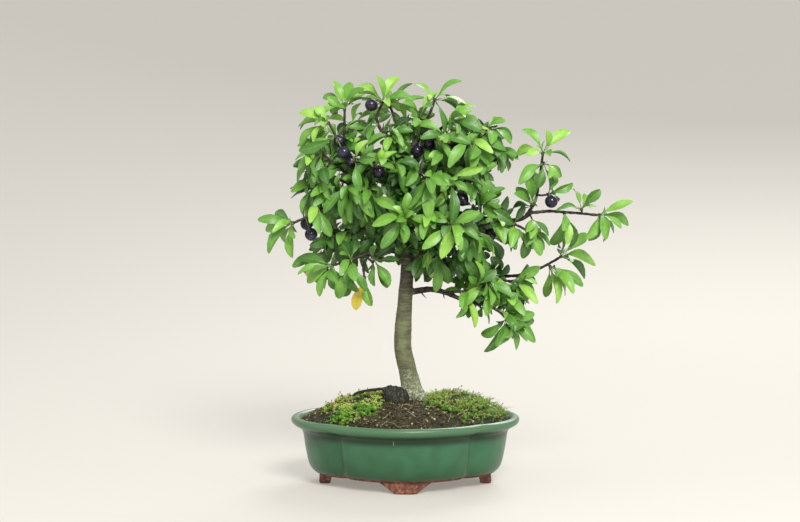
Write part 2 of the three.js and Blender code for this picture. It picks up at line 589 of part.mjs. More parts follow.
function sloeSolid(place) {
  const middle = seen(place);
  const hold = nearest(stemPoints, middle.clone().add(new THREE.Vector3(0, 0, SLOE_RADIUS)));
  const fruit = new THREE.SphereGeometry(SLOE_RADIUS, 7, 5).translate(...middle.toArray());
  const stalk = stem([middle, hold], [STALK_RADIUS, STALK_RADIUS], 3, {});
  return biggest(union([solid(fruit), stalk]).subtract(union([treeRoom, twigRoom])));
}
const sloes = SLOES.map(sloeSolid);

// The rings of a leaf from its stalk to its tip: a shallow three-sided blade, arched over its length.
function leafRings(base, way, shoot, length, width) {
  const outward = new THREE.Vector3(base.x, base.y, (base.z - CROWN.height) / 2).normalize();
  const normal = new THREE.Vector3(0, base.y < CROWN.depth ? -0.8 : 0.8, 0.5)
    .addScaledVector(outward, 0.35).addScaledVector(shoot, 0.35);
  normal.addScaledVector(way, -normal.dot(way)).normalize();
  const side = new THREE.Vector3().crossVectors(way, normal);
  const rings = LEAF_STATIONS.map(([along, wide, keel, lift]) => {
    const middle = base.clone().addScaledVector(way, length * along)
      .addScaledVector(normal, length * LEAF_ARCH * 4 * along * (1 - along));
    const half = (width / 2) * wide;
    return [
      middle.clone().addScaledVector(side, -half).addScaledVector(normal, lift),
      middle.clone().addScaledVector(side, half).addScaledVector(normal, lift),
      middle.clone().addScaledVector(normal, -keel),
    ];
  });
  return [...rings, [base.clone().addScaledVector(way, length)]];
}

// The same rings, each started at the corner that twists the leaf's stalk least from its root face.
function untwisted(root, rings) {
  const centre = middleOf(root);
  const stalk = middleOf(rings[0]);
  const match = [0, 1, 2].map((turn) => root.reduce((sum, corner, i) =>
    sum + corner.clone().sub(centre).dot(rings[0][(i + turn) % 3].clone().sub(stalk)), 0));
  const turn = match.indexOf(Math.max(...match));
  return rings.map((ring) => ring.map((_, i) => ring[(i + turn) % ring.length]));
}

// Everything that a leaf keeps clear of, with its owner. It may touch its own spray, but not cross it.
const obstacles = [...[tree, ...sloes].map((piece) => ({ owner: "", piece })), ...twigs]
  .map((entry) => ({ ...entry, box: entry.piece.boundingBox() }));

function isClear(leaf, owner) {
  const box = leaf.boundingBox();
  return obstacles.every((other) => {
    if (!boxesNear(box, other.box, LEAST_GAP)) return true;
    if (other.owner === owner) return leaf.intersect(other.piece).volume() < CROSSING;
    return leaf.minGap(other.piece, LEAST_GAP + 0.1) >= LEAST_GAP;
  });
}

// The leaves of one bud, fanned over its clock angles, each bent until it is clear or else left out.
function addLeaves(bud, owner, number) {
  const [first, last, count] = bud.fan;
  for (let i = 0; i < count; i++) {
    const pick = (k) => draw(number, i, k);
    const share = count > 1 ? i / (count - 1) : 0.5;
    const clock = first + (last - first) * share + 10 * (pick(1) - 0.5);
    const lean = (i % 2 ? 1 : -1) * (LEAN[0] + LEAN[1] * pick(2));
    const length = LEAF_LENGTH * (0.88 + 0.28 * pick(3));
    const width = LEAF_WIDTH * (0.88 + 0.22 * pick(4));
    for (const [turn, tilt] of TRIES) {
      const [across, deep] = [clock + turn, lean + tilt].map(THREE.MathUtils.degToRad);
      const way = new THREE.Vector3(Math.sin(across) * Math.cos(deep), Math.sin(deep),
        Math.cos(across) * Math.cos(deep));
      const { index, fit } = facing(bud, way);
      if (fit < STEEPEST) continue;
      const root = bud.faces[index];
      const rings = leafRings(middleOf(root), way, bud.shoot, length, width);
      const leaf = growth(bud, index, untwisted(root, rings));
      if (!isClear(leaf.piece, owner)) continue;
      bud.taken.add(index);
      bud.growths.push(leaf);
      obstacles.push({ owner, piece: leaf.piece, box: leaf.piece.boundingBox() });
      break;
    }
  }
}
allBuds.forEach(({ owner, bud }, number) => addLeaves(bud, owner, number));

// One spray as a single body: each bud's free faces and the walls of all that grows from it.
function spraySolid(buds) {
  const shoots = buds.map((bud) => solidOf([
    ...bud.faces.filter((_, i) => !bud.taken.has(i)), ...bud.growths.flatMap(({ walls }) => walls),
  ]));
  return biggest(union(shoots).subtract(treeRoom).simplify(SLIVER));
}

// The finished group
const FINISHES = {
  glaze: new THREE.MeshStandardMaterial({ color: 0x3f7a58, roughness: 0.22, metalness: 0 }),
  screen: new THREE.MeshStandardMaterial({ color: 0x2b2f2c, roughness: 0.6, metalness: 0 }),
  soil: new THREE.MeshStandardMaterial({ color: 0x2e241c, roughness: 0.95, metalness: 0 }),
  moss: new THREE.MeshStandardMaterial({ color: 0x7f9a35, roughness: 0.95, metalness: 0 }),
  bark: new THREE.MeshStandardMaterial({ color: 0x6a6450, roughness: 0.85, metalness: 0 }),
  foliage: new THREE.MeshStandardMaterial({ color: 0x4b8c2d, roughness: 0.5, metalness: 0 }),
  sloe: new THREE.MeshStandardMaterial({ color: 0x1d2140, roughness: 0.4, metalness: 0 }),
};

const bonsai = new THREE.Group();

function addPiece(name, piece, finish) {
  const { vertProperties, triVerts } = piece.getMesh();
  const geometry = new THREE.BufferGeometry();
  geometry.setAttribute("position", new THREE.BufferAttribute(vertProperties, 3));
  geometry.setIndex(new THREE.BufferAttribute(triVerts, 1));
  geometry.computeVertexNormals();
  const mesh = new THREE.Mesh(geometry, finish);
  mesh.name = name;
  bonsai.add(mesh);
}

const soil = soilSolid();
const ground = union([soil.translate([0, 0, GAP]), treeRoom]);

addPiece("pot", potSolid(), FINISHES.glaze);
addPiece("screen_left", screenSolid(-1), FINISHES.screen);
addPiece("screen_right", screenSolid(1), FINISHES.screen);
addPiece("soil", biggest(soil.subtract(treeRoom)), FINISHES.soil);
for (const [name, cushion] of Object.entries(CUSHIONS)) {
  addPiece(name, cushionSolid(cushion, ground), FINISHES.moss);
}
addPiece("tree", tree.simplify(SLIVER), FINISHES.bark);
for (const [name, buds] of Object.entries(sprayBuds)) {
  addPiece(`spray_${name}`, spraySolid(buds), FINISHES.foliage);
}
sloes.forEach((piece, i) => addPiece(`sloe_${i + 1}`, piece, FINISHES.sloe));

// Stand the group's box centred on the origin.
const box = new THREE.Box3().setFromObject(bonsai);
bonsai.position.set(-(box.min.x + box.max.x) / 2, -(box.min.y + box.max.y) / 2, -box.min.z);

export default bonsai;
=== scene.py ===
"""A blackthorn bonsai with its sloes, in a green glazed pot of four lobes.

Sizes are in millimetres from the middle of the pot's underside, with +Z up and the tree's best side
facing -Y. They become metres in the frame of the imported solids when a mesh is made.
"""

from __future__ import annotations

import logging
import math
from dataclasses import dataclass, field
from enum import Enum

import bpy
import numpy as np
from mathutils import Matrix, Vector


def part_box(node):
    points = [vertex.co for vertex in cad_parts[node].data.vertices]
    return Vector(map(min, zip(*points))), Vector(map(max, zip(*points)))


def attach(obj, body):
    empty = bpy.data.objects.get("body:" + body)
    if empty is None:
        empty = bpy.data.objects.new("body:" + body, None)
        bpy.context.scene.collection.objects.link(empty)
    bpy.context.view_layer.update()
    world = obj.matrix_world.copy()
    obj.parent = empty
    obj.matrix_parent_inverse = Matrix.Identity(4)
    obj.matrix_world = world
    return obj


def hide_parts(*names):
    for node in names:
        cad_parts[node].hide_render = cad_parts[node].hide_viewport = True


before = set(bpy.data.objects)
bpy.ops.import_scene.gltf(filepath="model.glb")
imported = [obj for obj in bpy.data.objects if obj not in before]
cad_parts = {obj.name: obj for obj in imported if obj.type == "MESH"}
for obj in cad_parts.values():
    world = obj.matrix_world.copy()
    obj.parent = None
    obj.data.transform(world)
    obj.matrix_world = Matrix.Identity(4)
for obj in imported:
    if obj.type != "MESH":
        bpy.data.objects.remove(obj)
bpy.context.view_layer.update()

log = logging.getLogger("blackthorn")

MM = 0.001
POT_LOW, POT_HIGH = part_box("pot")
POT_MIDDLE = np.array([(POT_LOW.x + POT_HIGH.x) / 2, (POT_LOW.y + POT_HIGH.y) / 2, POT_LOW.z])
UP = np.array([0.0, 0.0, 1.0])

Array = np.ndarray
Random = np.random.Generator
Socket = bpy.types.NodeSocket
Material = bpy.types.Material
Thing = bpy.types.Object
Pair = tuple[float, float]
Colour = tuple[float, float, float]
Stops = tuple[tuple[float, Colour], ...]


# Arithmetic on arrays


def unit(vectors: Array) -> Array:
    """Vectors of length one along the last axis."""
    return vectors / np.maximum(np.linalg.norm(vectors, axis=-1, keepdims=True), 1e-9)


def dots(a: Array, b: Array) -> Array:
    """Scalar products along the last axis, which is kept."""
    return np.sum(a * b, axis=-1, keepdims=True)


def lengths_of(vectors: Array) -> Array:
    """Lengths along the last axis."""
    return np.linalg.norm(vectors, axis=-1)


def evenly(count: int) -> Array:
    """Evenly spaced shares from 0 to 1."""
    return np.linspace(0, 1, count)


def circle(count: int) -> Array:
    """Evenly spaced angles once round."""
    return np.arange(count) * 2 * np.pi / count


def smoothstep(low: float, high: float, values: Array) -> Array:
    """A soft step: 0 below low, 1 above high, and 3t² - 2t³ between them."""
    t = np.clip((values - low) / (high - low), 0, 1)
    return t * t * (3 - 2 * t)


def lattice(cells: Array, seed: int) -> Array:
    """A random value from -1 to 1 for each whole-number cell, mixed from its three numbers."""
    x, y, z = np.moveaxis(cells, -1, 0)
    mixed = x * 73856093 ^ y * 19349663 ^ z * 83492791 ^ seed * 2654435761
    mixed = (mixed ^ (mixed >> 13)) * 1274126177
    return ((mixed ^ (mixed >> 16)) & 0xFFFF) / 0x8000 - 1.0


def relief(points: Array, size: float | tuple[float, float, float], seed: int, octaves: int = 2) -> Array:
    """Smooth random heights from about -1 to 1.

    Each octave blends the random values at the eight corners of a cell by soft steps along its three
    edges, and has half the size and half the height of the one before.

    Args:
        points: Places, one a row.
        size: The cells' edge, or one for each axis.
        seed: Picks the pattern.
        octaves: How many patterns are added.

    Returns:
        One height for each point.
    """
    total = np.zeros(len(points))
    for octave in range(octaves):
        places = points / (np.asarray(size) / 2**octave) + 17.3 * octave
        cells = np.floor(places).astype(np.int64)
        t = places - cells
        t = t * t * (3 - 2 * t)
        for corner in np.ndindex(2, 2, 2):
            weight = np.prod(np.where(np.array(corner), t, 1 - t), axis=1)
            total += weight * lattice(cells + np.array(corner), seed + octave) / 2**octave
    return total


def smooth_curve(knots: Array, shares: Array) -> Array:
    """Points on the smooth curve through knots.

    Between two knots it is the cubic that leaves and arrives along half of the line between the
    neighbours of each. Past the ends the curve's neighbours are the end spans, repeated.
    """
    ends = np.vstack([2 * knots[0] - knots[1], knots, 2 * knots[-1] - knots[-2]])
    place = np.clip(shares, 0, 1) * (len(knots) - 1)
    span = np.minimum(place.astype(int), len(knots) - 2)
    t = (place - span)[:, None]
    before, start, end, after = (ends[span + k] for k in range(4))
    leave, arrive = (end - before) / 2, (after - start) / 2
    return (
        (2 * t**3 - 3 * t**2 + 1) * start
        + (t**3 - 2 * t**2 + t) * leave
        + (3 * t**2 - 2 * t**3) * end
        + (t**3 - t**2) * arrive
    )


def rounded_line(points: Array, rounds: int) -> Array:
    """A line with its corners cut at a quarter and three quarters of each span, some rounds over."""
    for _ in range(rounds):
        quarter = 0.75 * points[:-1] + 0.25 * points[1:]
        three = 0.25 * points[:-1] + 0.75 * points[1:]
        between = np.stack([quarter, three], axis=1).reshape(-1, points.shape[1])
        points = np.vstack([points[:1], between, points[-1:]])
    return points


# Surfaces


@dataclass
class Shell:
    """A closed surface, or several.

    Args:
        points: Corners in millimetres, one a row.
        quads: Faces of four corners, counter-clockwise seen from outside.
        triangles: Faces of three corners.
        quad_finish: Which of the piece's finishes each quad has.
        triangle_finish: The same for triangles.
        marks: Named values at the corners that finishes read.
    """

    points: Array
    quads: Array
    triangles: Array
    quad_finish: Array | int = 0
    triangle_finish: Array | int = 0
    marks: dict[str, Array] = field(default_factory=dict)

    def marked(self, **marks: Array | float) -> Shell:
        """The same shell with more marks; a single number holds for every corner."""
        for name, value in marks.items():
            shape = (len(self.points),) + np.shape(value)[1:]
            self.marks[name] = np.broadcast_to(np.asarray(value, float), shape)
        return self

    def finishes(self) -> tuple[Array, Array]:
        """The finish of each quad and of each triangle."""
        return (
            np.broadcast_to(self.quad_finish, len(self.quads)),
            np.broadcast_to(self.triangle_finish, len(self.triangles)),
        )

    def finished(self, finish: int) -> Shell:
        """The same shell with all its faces in one finish."""
        self.quad_finish = self.triangle_finish = finish
        return self


def joined(shells: list[Shell]) -> Shell:
    """One shell that holds them all, side by side."""
    starts = np.cumsum([0] + [len(shell.points) for shell in shells[:-1]])
    names = {name: np.shape(values)[1:] for shell in shells for name, values in shell.marks.items()}
    marks = {}
    for name, shape in names.items():
        marks[name] = np.concatenate(
            [shell.marks.get(name, np.zeros((len(shell.points),) + shape)) for shell in shells]
        )
    return Shell(
        np.vstack([shell.points for shell in shells]),
        np.vstack([shell.quads + start for shell, start in zip(shells, starts)]),
        np.vstack([shell.triangles + start for shell, start in zip(shells, starts)]),
        np.concatenate([shell.finishes()[0] for shell in shells]),
        np.concatenate([shell.finishes()[1] for shell in shells]),
        marks,
    )


def ring_faces(rows: int, around: int) -> tuple[Array, Array]:
    """The faces of rings in order, closed by a pole before the first and another after the last.

    The corners are row after row, then the two poles. A ring runs counter-clockwise seen from the
    ring after it.
    """
    i = np.arange(around)
    j = (i + 1) % around
    row = np.arange(rows - 1)[:, None] * around
    quads = np.stack([row + i, row + j, row + around + j, row + around + i], axis=-1).reshape(-1, 4)
    first, last, top = rows * around, rows * around + 1, (rows - 1) * around
    under = np.stack([np.full(around, first), j, i], axis=-1)
    over = np.stack([top + i, top + j, np.full(around, last)], axis=-1)
    return quads, np.vstack([under, over])


def ringed(rings: Array, first: Array | None = None, last: Array | None = None) -> Shell:
    """A closed shell from rings, shaped (rows, around, 3), and a pole at each end.

    A pole that isn't given is the middle of its ring.
    """
    rows, around, _ = rings.shape
    first = rings[0].mean(axis=0) if first is None else first
    last = rings[-1].mean(axis=0) if last is None else last
    quads, triangles = ring_faces(rows, around)
    return Shell(np.vstack([rings.reshape(-1, 3), first, last]), quads, triangles)


def repeated(points: Array, quads: Array, triangles: Array) -> Shell:
    """A shell of many alike: points shaped (count, corners, 3), with one copy of the faces for each."""
    count, corners, _ = points.shape
    shift = (np.arange(count) * corners)[:, None, None]
    return Shell(
        points.reshape(-1, 3),
        (quads[None] + shift).reshape(-1, 4),
        (triangles[None] + shift).reshape(-1, 3),
    )


def tube(path: Array, radii: Array, around: int) -> Shell:
    """A round stem along a path, with its ends closed.

    Each ring is path + radius (cos a · side + sin a · other), square to the path's slope there. The
    side is a fixed direction, little like any of the slopes, made square to each of them. Radii may
    be one a ring, or (rings, around) for a stem that isn't round.
    """
    slope = unit(np.gradient(path, axis=0))
    fixed = np.eye(3)[np.argmin(np.abs(slope).max(axis=0))]
    side = unit(fixed - dots(slope, fixed[None]) * slope)
    other = np.cross(slope, side)
    angle = circle(around)
    reach = np.asarray(radii, float).reshape(len(path), -1, 1)
    spokes = np.cos(angle)[:, None] * side[:, None] + np.sin(angle)[:, None] * other[:, None]
    return ringed(path[:, None] + reach * spokes, path[0], path[-1])


def ball(centre: Array, half: tuple[float, float, float], rows: int, around: int) -> Shell:
    """An ellipsoid: rings at equal angles from its lower pole to its upper one."""
    lift = (np.arange(rows) + 1) * np.pi / (rows + 1)
    angle = circle(around)
    level = np.sin(lift)[:, None]
    height = np.broadcast_to(-np.cos(lift)[:, None], (rows, around))
    rings = np.stack([level * np.cos(angle), level * np.sin(angle), height], -1)
    return ringed(centre + rings * half, centre - UP * half[2], centre + UP * half[2])


def slivers(bases: Array, ways: Array, normals: Array, lengths: Array, widths: Array) -> Shell:
    """Many tiny closed leaves: a stretched octahedron from base to tip, widest at 0.45 of the length.

    Args:
        bases: Where each grows from.
        ways: Unit vectors along them.
        normals: Unit vectors that their flat side faces.
        lengths: Their lengths.
        widths: Their widths; the thickness is a third of it.

    Returns:
        One shell of eight triangles each.
    """
    side = unit(np.cross(ways, normals))
    face = np.cross(side, ways)
    middle = bases + ways * (0.45 * lengths)[:, None]
    out, thick = side * (widths / 2)[:, None], face * (widths / 6)[:, None]
    tips = bases + ways * lengths[:, None]
    points = np.stack([bases, middle - out, middle + thick, middle + out, middle - thick, tips], 1)
    around = np.array([1, 2, 3, 4])
    after = np.roll(around, -1)
    zero, five = np.zeros(4, int), np.full(4, 5)
    triangles = np.vstack([np.stack([zero, after, around], 1), np.stack([around, after, five], 1)])
    return repeated(points, np.zeros((0, 4), int), triangles)


def on_slivers(values: Array) -> Array:
    """A value for each sliver, given to all six of its corners."""
    return np.repeat(values.ravel(), 6)


def drawn(shell: Shell, name: str) -> bpy.types.Mesh:
    """A Blender mesh of the shell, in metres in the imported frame, smooth, with its marks as attributes."""
    mesh = bpy.data.meshes.new(name)
    mesh.vertices.add(len(shell.points))
    mesh.vertices.foreach_set("co", (shell.points * MM + POT_MIDDLE).astype(np.float32).ravel())
    corners = np.concatenate([shell.quads.ravel(), shell.triangles.ravel()]).astype(np.int32)
    sizes = np.concatenate([np.full(len(shell.quads), 4), np.full(len(shell.triangles), 3)])
    mesh.loops.add(len(corners))
    mesh.loops.foreach_set("vertex_index", corners)
    mesh.polygons.add(len(sizes))
    mesh.polygons.foreach_set("loop_start", np.concatenate([[0], np.cumsum(sizes)[:-1]]).astype(np.int32))
    mesh.polygons.foreach_set("material_index", np.concatenate(shell.finishes()).astype(np.int32))
    mesh.update(calc_edges=True)
    mesh.shade_smooth()
    if "blade" in shell.marks:
        mesh.set_sharp_from_angle(angle=math.radians(60))
    for mark, values in shell.marks.items():
        if mark == "blade":
            layer = mesh.uv_layers.new(name=mark)
            layer.uv.foreach_set("vector", values[corners].astype(np.float32).ravel())
        else:
            attribute = mesh.attributes.new(mark, "FLOAT", "POINT")
            attribute.data.foreach_set("value", values.astype(np.float32).ravel())
    return mesh


def corners_of(mesh: bpy.types.Mesh) -> Array:
    """A mesh's corners in millimetres."""
    points = np.empty(len(mesh.vertices) * 3, np.float32)
    mesh.vertices.foreach_get("co", points)
    return (points.reshape(-1, 3).astype(float) - POT_MIDDLE) / MM


def placed(name: str, data: bpy.types.ID) -> Thing:
    """A new object in the scene that shows the mesh, light or camera."""
    thing = bpy.data.objects.new(name, data)
    bpy.context.scene.collection.objects.link(thing)
    return thing


def add_piece(name: str, shell: Shell, finishes: list[Material], nodes: list[str]) -> Thing:
    """Adds one piece of the bonsai to the scene.

    Args:
        name: The piece's name.
        shell: Its surface.
        finishes: Its materials, in the order of the shell's finish numbers.
        nodes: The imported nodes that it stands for.

    Returns:
        The new object.
    """
    mesh = drawn(shell, name)
    for finish in finishes:
        mesh.materials.append(finish)
    piece = placed(name, mesh)
    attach(piece, "root")
    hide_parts(*nodes)
    log.info("%s: %d triangles", name, 2 * len(shell.quads) + len(shell.triangles))
    return piece


# Finishes


class Wire:
    """A number in a material, for arithmetic: an expression on wires adds its Math nodes."""

    def __init__(self, paint: Paint, socket: Socket) -> None:
        """Wraps an output socket of one material."""
        self.paint = paint
        self.socket = socket

    def combine(self, operation: str, first: Wire | float, second: Wire | float) -> Wire:
        """The Math node of one operation on two numbers."""
        node = self.paint.node("Math", {"operation": operation}, {0: first, 1: second})
        return Wire(self.paint, node.outputs[0])

    def __add__(self, other: Wire | float) -> Wire:
        """self + other"""
        return self.combine("ADD", self, other)

    __radd__ = __add__

    def __sub__(self, other: Wire | float) -> Wire:
        """self - other"""
        return self.combine("SUBTRACT", self, other)

    def __rsub__(self, other: float) -> Wire:
        """other - self"""
        return self.combine("SUBTRACT", other, self)

    def __mul__(self, other: Wire | float) -> Wire:
        """self * other"""
        return self.combine("MULTIPLY", self, other)

    __rmul__ = __mul__

    def __pow__(self, other: float) -> Wire:
        """self ** other"""
        return self.combine("POWER", self, other)

    def __abs__(self) -> Wire:
        """abs(self)"""
        return self.combine("ABSOLUTE", self, 0.0)

    def sine(self) -> Wire:
        """The sine of a number of radians."""
        return self.combine("SINE", self, 0.0)

    def least(self, other: Wire | float) -> Wire:
        """The smaller of two numbers."""
        return self.combine("MINIMUM", self, other)

    def most(self, other: Wire | float) -> Wire:
        """The larger of two numbers."""
        return self.combine("MAXIMUM", self, other)

    def step(self, low: float, high: float) -> Wire:
        """A soft step from 0 at low to 1 at high; low may be the higher of the two."""
        node = self.paint.node(
            "MapRange",
            {"interpolation_type": "SMOOTHSTEP", "clamp": True},
            {"Value": self, "From Min": min(low, high), "From Max": max(low, high)},
        )
        wire = Wire(self.paint, node.outputs["Result"])
        return wire if low < high else 1 - wire


class Paint:
    """One material's nodes while it is made."""

    def __init__(self, name: str) -> None:
        """Starts an empty material."""
        self.material = bpy.data.materials.new(name)
        self.material.use_nodes = True
        self.tree = self.material.node_tree
        self.tree.nodes.clear()

    def node(self, kind: str, settings: dict | None = None, sockets: dict | None = None) -> bpy.types.Node:
        """Adds a node.

        Args:
            kind: Its type, without "ShaderNode" before it.
            settings: Its properties; "stops" are a ramp's (place, colour) pairs.
            sockets: A value, Wire or output for inputs, by name or number.

        Returns:
            The node.
        """
        node = self.tree.nodes.new("ShaderNode" + kind)
        for name, value in (settings or {}).items():
            if name == "stops":
                stops = node.color_ramp.elements
                while len(stops) < len(value):
                    stops.new(0.5)
                for stop, (place, colour) in zip(stops, value):
                    stop.position = place
                    stop.color = (*colour, 1)
            else:
                setattr(node, name, value)
        for name, value in (sockets or {}).items():
            if isinstance(value, Wire):
                self.tree.links.new(value.socket, node.inputs[name])
            elif isinstance(value, Socket):
                self.tree.links.new(value, node.inputs[name])
            else:
                node.inputs[name].default_value = value
        return node

    def place(self) -> Socket:
        """The place on the piece, in metres."""
        return self.node("TexCoord").outputs["Object"]

    def stretched(self, x: float, y: float, z: float) -> Socket:
        """The place with each axis scaled."""
        mapping = self.node("Mapping", {}, {"Vector": self.place(), "Scale": (x, y, z)})
        return mapping.outputs["Vector"]

    def axis(self, name: str) -> Wire:
        """Millimetres from the middle of the pot's underside along X, Y or Z."""
        split = self.node("SeparateXYZ", {}, {"Vector": self.place()})
        return (Wire(self, split.outputs[name]) - float(POT_MIDDLE["XYZ".index(name)])) * (1 / MM)

    def height(self) -> Wire:
        """Millimetres above the ground."""
        return self.axis("Z")

    def mark(self, name: str) -> Wire:
        """A value that the shell holds at its corners."""
        return Wire(self, self.node("Attribute", {"attribute_name": name}).outputs["Fac"])

    def noise(self, size: float, detail: float = 2.0, at: Socket | None = None) -> Wire:
        """Soft random values about 0.5, with blotches of a size in millimetres."""
        sockets = {"Vector": at or self.place(), "Scale": 1 / (size * MM), "Detail": detail}
        return Wire(self, self.node("TexNoise", {}, sockets).outputs["Fac"])

    def ramp(self, factor: Wire, stops: Stops) -> Socket:
        """A colour read from a row of stops."""
        return self.node("ValToRGB", {"stops": stops}, {"Fac": factor}).outputs["Color"]

    def mix(self, factor: Wire | float, a: Socket | Colour, b: Socket | Colour) -> Socket:
        """Colour a where the factor is 0, and b where it is 1."""
        first, second = ((*c, 1) if isinstance(c, tuple) else c for c in (a, b))
        settings = {"data_type": "RGBA", "blend_type": "MIX", "clamp_factor": True}
        return self.node("Mix", settings, {0: factor, 6: first, 7: second}).outputs[2]

    def bump(self, height: Wire, depth: float) -> Socket:
        """A normal from heights between 0 and 1 that stand for a depth in millimetres."""
        return self.node("Bump", {}, {"Height": height, "Distance": depth * MM}).outputs["Normal"]

    def done(self, **sockets: object) -> Material:
        """Ends the material with its shader; a name's underscores are spaces."""
        inputs = {}
        for name, value in sockets.items():
            flat = isinstance(value, tuple) and len(value) == 3
            inputs[name.replace("_", " ")] = (*value, 1) if flat else value
        shader = self.node("BsdfPrincipled", {}, inputs)
        self.node("OutputMaterial", {}, {"Surface": shader.outputs["BSDF"]})
        return self.material


@dataclass(frozen=True)
class Glaze:
    """Celadon green glaze that thins and greys on the rim and stops short of the bare clay foot, with a
    painted shadow under the rim.
    """

    deep: Colour = (0.016, 0.062, 0.022)
    # Painted shadow: the colour of the dark band under the rim.
    under_rim_shadow: Colour = (0.009, 0.036, 0.014)
    body: Colour = (0.036, 0.14, 0.066)
    thin: Colour = (0.075, 0.165, 0.08)
    worn: Colour = (0.15, 0.19, 0.11)
    clay: Colour = (0.235, 0.095, 0.06)
    clay_dark: Colour = (0.09, 0.036, 0.026)
    clay_worn: Colour = (0.46, 0.25, 0.17)
    flaw: Colour = (0.42, 0.45, 0.34)
    ends_at: float = 15.5
    rim_at: float = 66.5
    flaw_across: float = -13.0
    flaw_low: float = 55.5
    flaw_high: float = 63.0

    def material(self) -> Material:
        """The pot's material, by height above the ground."""
        paint = Paint("glaze")
        height = paint.height()
        runs = paint.noise(9, 3, paint.stretched(1, 1, 0.22))
        clouds = paint.noise(38, 2)
        tone = (clouds * 0.9 + runs * 0.15).step(0.3, 0.72)
        body = paint.mix(tone * 0.7 + 0.3, self.deep, self.body)
        body = paint.mix(height.step(40, 12) * 0.6, body, self.deep)
        # Painted shadow under the rim's overhang: a dark band from about 52 to 69 mm up.
        under_rim_shadow = height.step(52, 60) * height.step(69, 64)
        body = paint.mix(under_rim_shadow, body, self.under_rim_shadow)
        rim = (height + (runs - 0.5) * 5).step(self.rim_at - 2, self.rim_at + 5)
        body = paint.mix(rim * 0.8, body, self.thin)
        crest = (height + (clouds - 0.5) * 6).step(74.5, 77.5)
        body = paint.mix(crest * 0.75, body, self.worn)
        drip = abs(paint.axis("X") - self.flaw_across + (runs - 0.5) * 3).step(0.6, 0.2) * 0.45
        drip = drip * height.step(self.flaw_low, self.flaw_low + 2)
        drip = drip * height.step(self.flaw_high, self.flaw_high - 2)
        body = paint.mix(drip * paint.axis("Y").step(-10, -20), body, self.flaw)
        clay = paint.mix(paint.noise(5, 4).step(0.35, 0.7), self.clay_dark, self.clay)
        scuffs = paint.noise(3, 4).step(0.55, 0.75) * height.step(14, 6)
        clay = paint.mix(scuffs * 0.7, clay, self.clay_worn)
        glazed = (height + (runs - 0.5) * 2.2).step(self.ends_at - 0.5, self.ends_at + 0.5)
        grit = paint.noise(0.7, 3)
        ripple = paint.noise(7, 2) * 0.75 + grit * 0.06
        return paint.done(
            Base_Color=paint.mix(glazed, clay, body),
            Roughness=(1 - glazed) * 0.5 + 0.32 + runs * 0.1,
            Normal=paint.bump(ripple * glazed + grit * (1 - glazed), 0.4),
            Specular_IOR_Level=0.35,
            Coat_Weight=glazed * 0.2,
            Coat_Roughness=0.2,
        )


@dataclass(frozen=True)
class Mesh:
    """Dark plastic mesh of the drain screens."""

    dark: Colour = (0.018, 0.021, 0.019)
    dusty: Colour = (0.06, 0.055, 0.045)

    def material(self) -> Material:
        """The screens' material: dark, with dust in blotches."""
        paint = Paint("drain_mesh")
        dust = paint.noise(3, 3).step(0.45, 0.75)
        return paint.done(
            Base_Color=paint.mix(dust, self.dark, self.dusty),
            Roughness=dust * 0.3 + 0.5,
            Normal=paint.bump(paint.noise(0.8, 2), 0.15),
        )


@dataclass(frozen=True)
class Earth:
    """Dark crumbly soil, with tan, reddish and pale grains by the mark `tone`."""

    wet: Colour = (0.008, 0.0065, 0.003)
    brown: Colour = (0.062, 0.052, 0.02)
    grains: Stops = (
        (0.0, (0.014, 0.012, 0.006)), (0.3, (0.055, 0.046, 0.018)), (0.55, (0.13, 0.115, 0.042)),
        (0.7, (0.17, 0.09, 0.04)), (0.85, (0.32, 0.29, 0.13)), (1.0, (0.66, 0.64, 0.48)),
    )

    def material(self) -> Material:
        """The soil's material: crumb colours on the bed, and each grain's own tone."""
        paint = Paint("soil")
        crumbs = paint.noise(1.4, 4)
        bed = paint.mix((crumbs * 0.6 + paint.noise(11, 2) * 0.5).step(0.42, 0.72), self.wet, self.brown)
        tone = paint.mark("tone")
        grain = paint.ramp(tone.most(0.001), self.grains)
        grain = paint.mix(crumbs.step(0.5, 0.35) * 0.5, grain, self.wet)
        return paint.done(
            Base_Color=paint.mix(tone.step(0.0, 0.001), bed, grain),
            Roughness=crumbs * 0.25 + 0.72,
            Normal=paint.bump(paint.noise(0.6, 3), 0.4),
        )


@dataclass(frozen=True)
class Growth:
    """Small plants on the soil: colours by the mark `tone`, with painted shade towards the ground by the
    mark `deep`.
    """

    name: str
    tones: Stops
    shade: Colour = (0.028, 0.029, 0.009)
    gloss: float = 0.7

    def material(self) -> Material:
        """The plants' material."""
        paint = Paint(self.name)
        tint = paint.noise(1.6, 2)
        colour = paint.ramp((paint.mark("tone") + (tint - 0.5) * 0.12).most(0.0), self.tones)
        # Painted shade: the mark `deep` mixes in the shade colour.
        colour = paint.mix(paint.mark("deep").least(1.0), colour, self.shade)
        return paint.done(
            Base_Color=colour,
            Roughness=tint * 0.2 + self.gloss,
            Normal=paint.bump(paint.noise(0.5, 2), 0.12),
        )


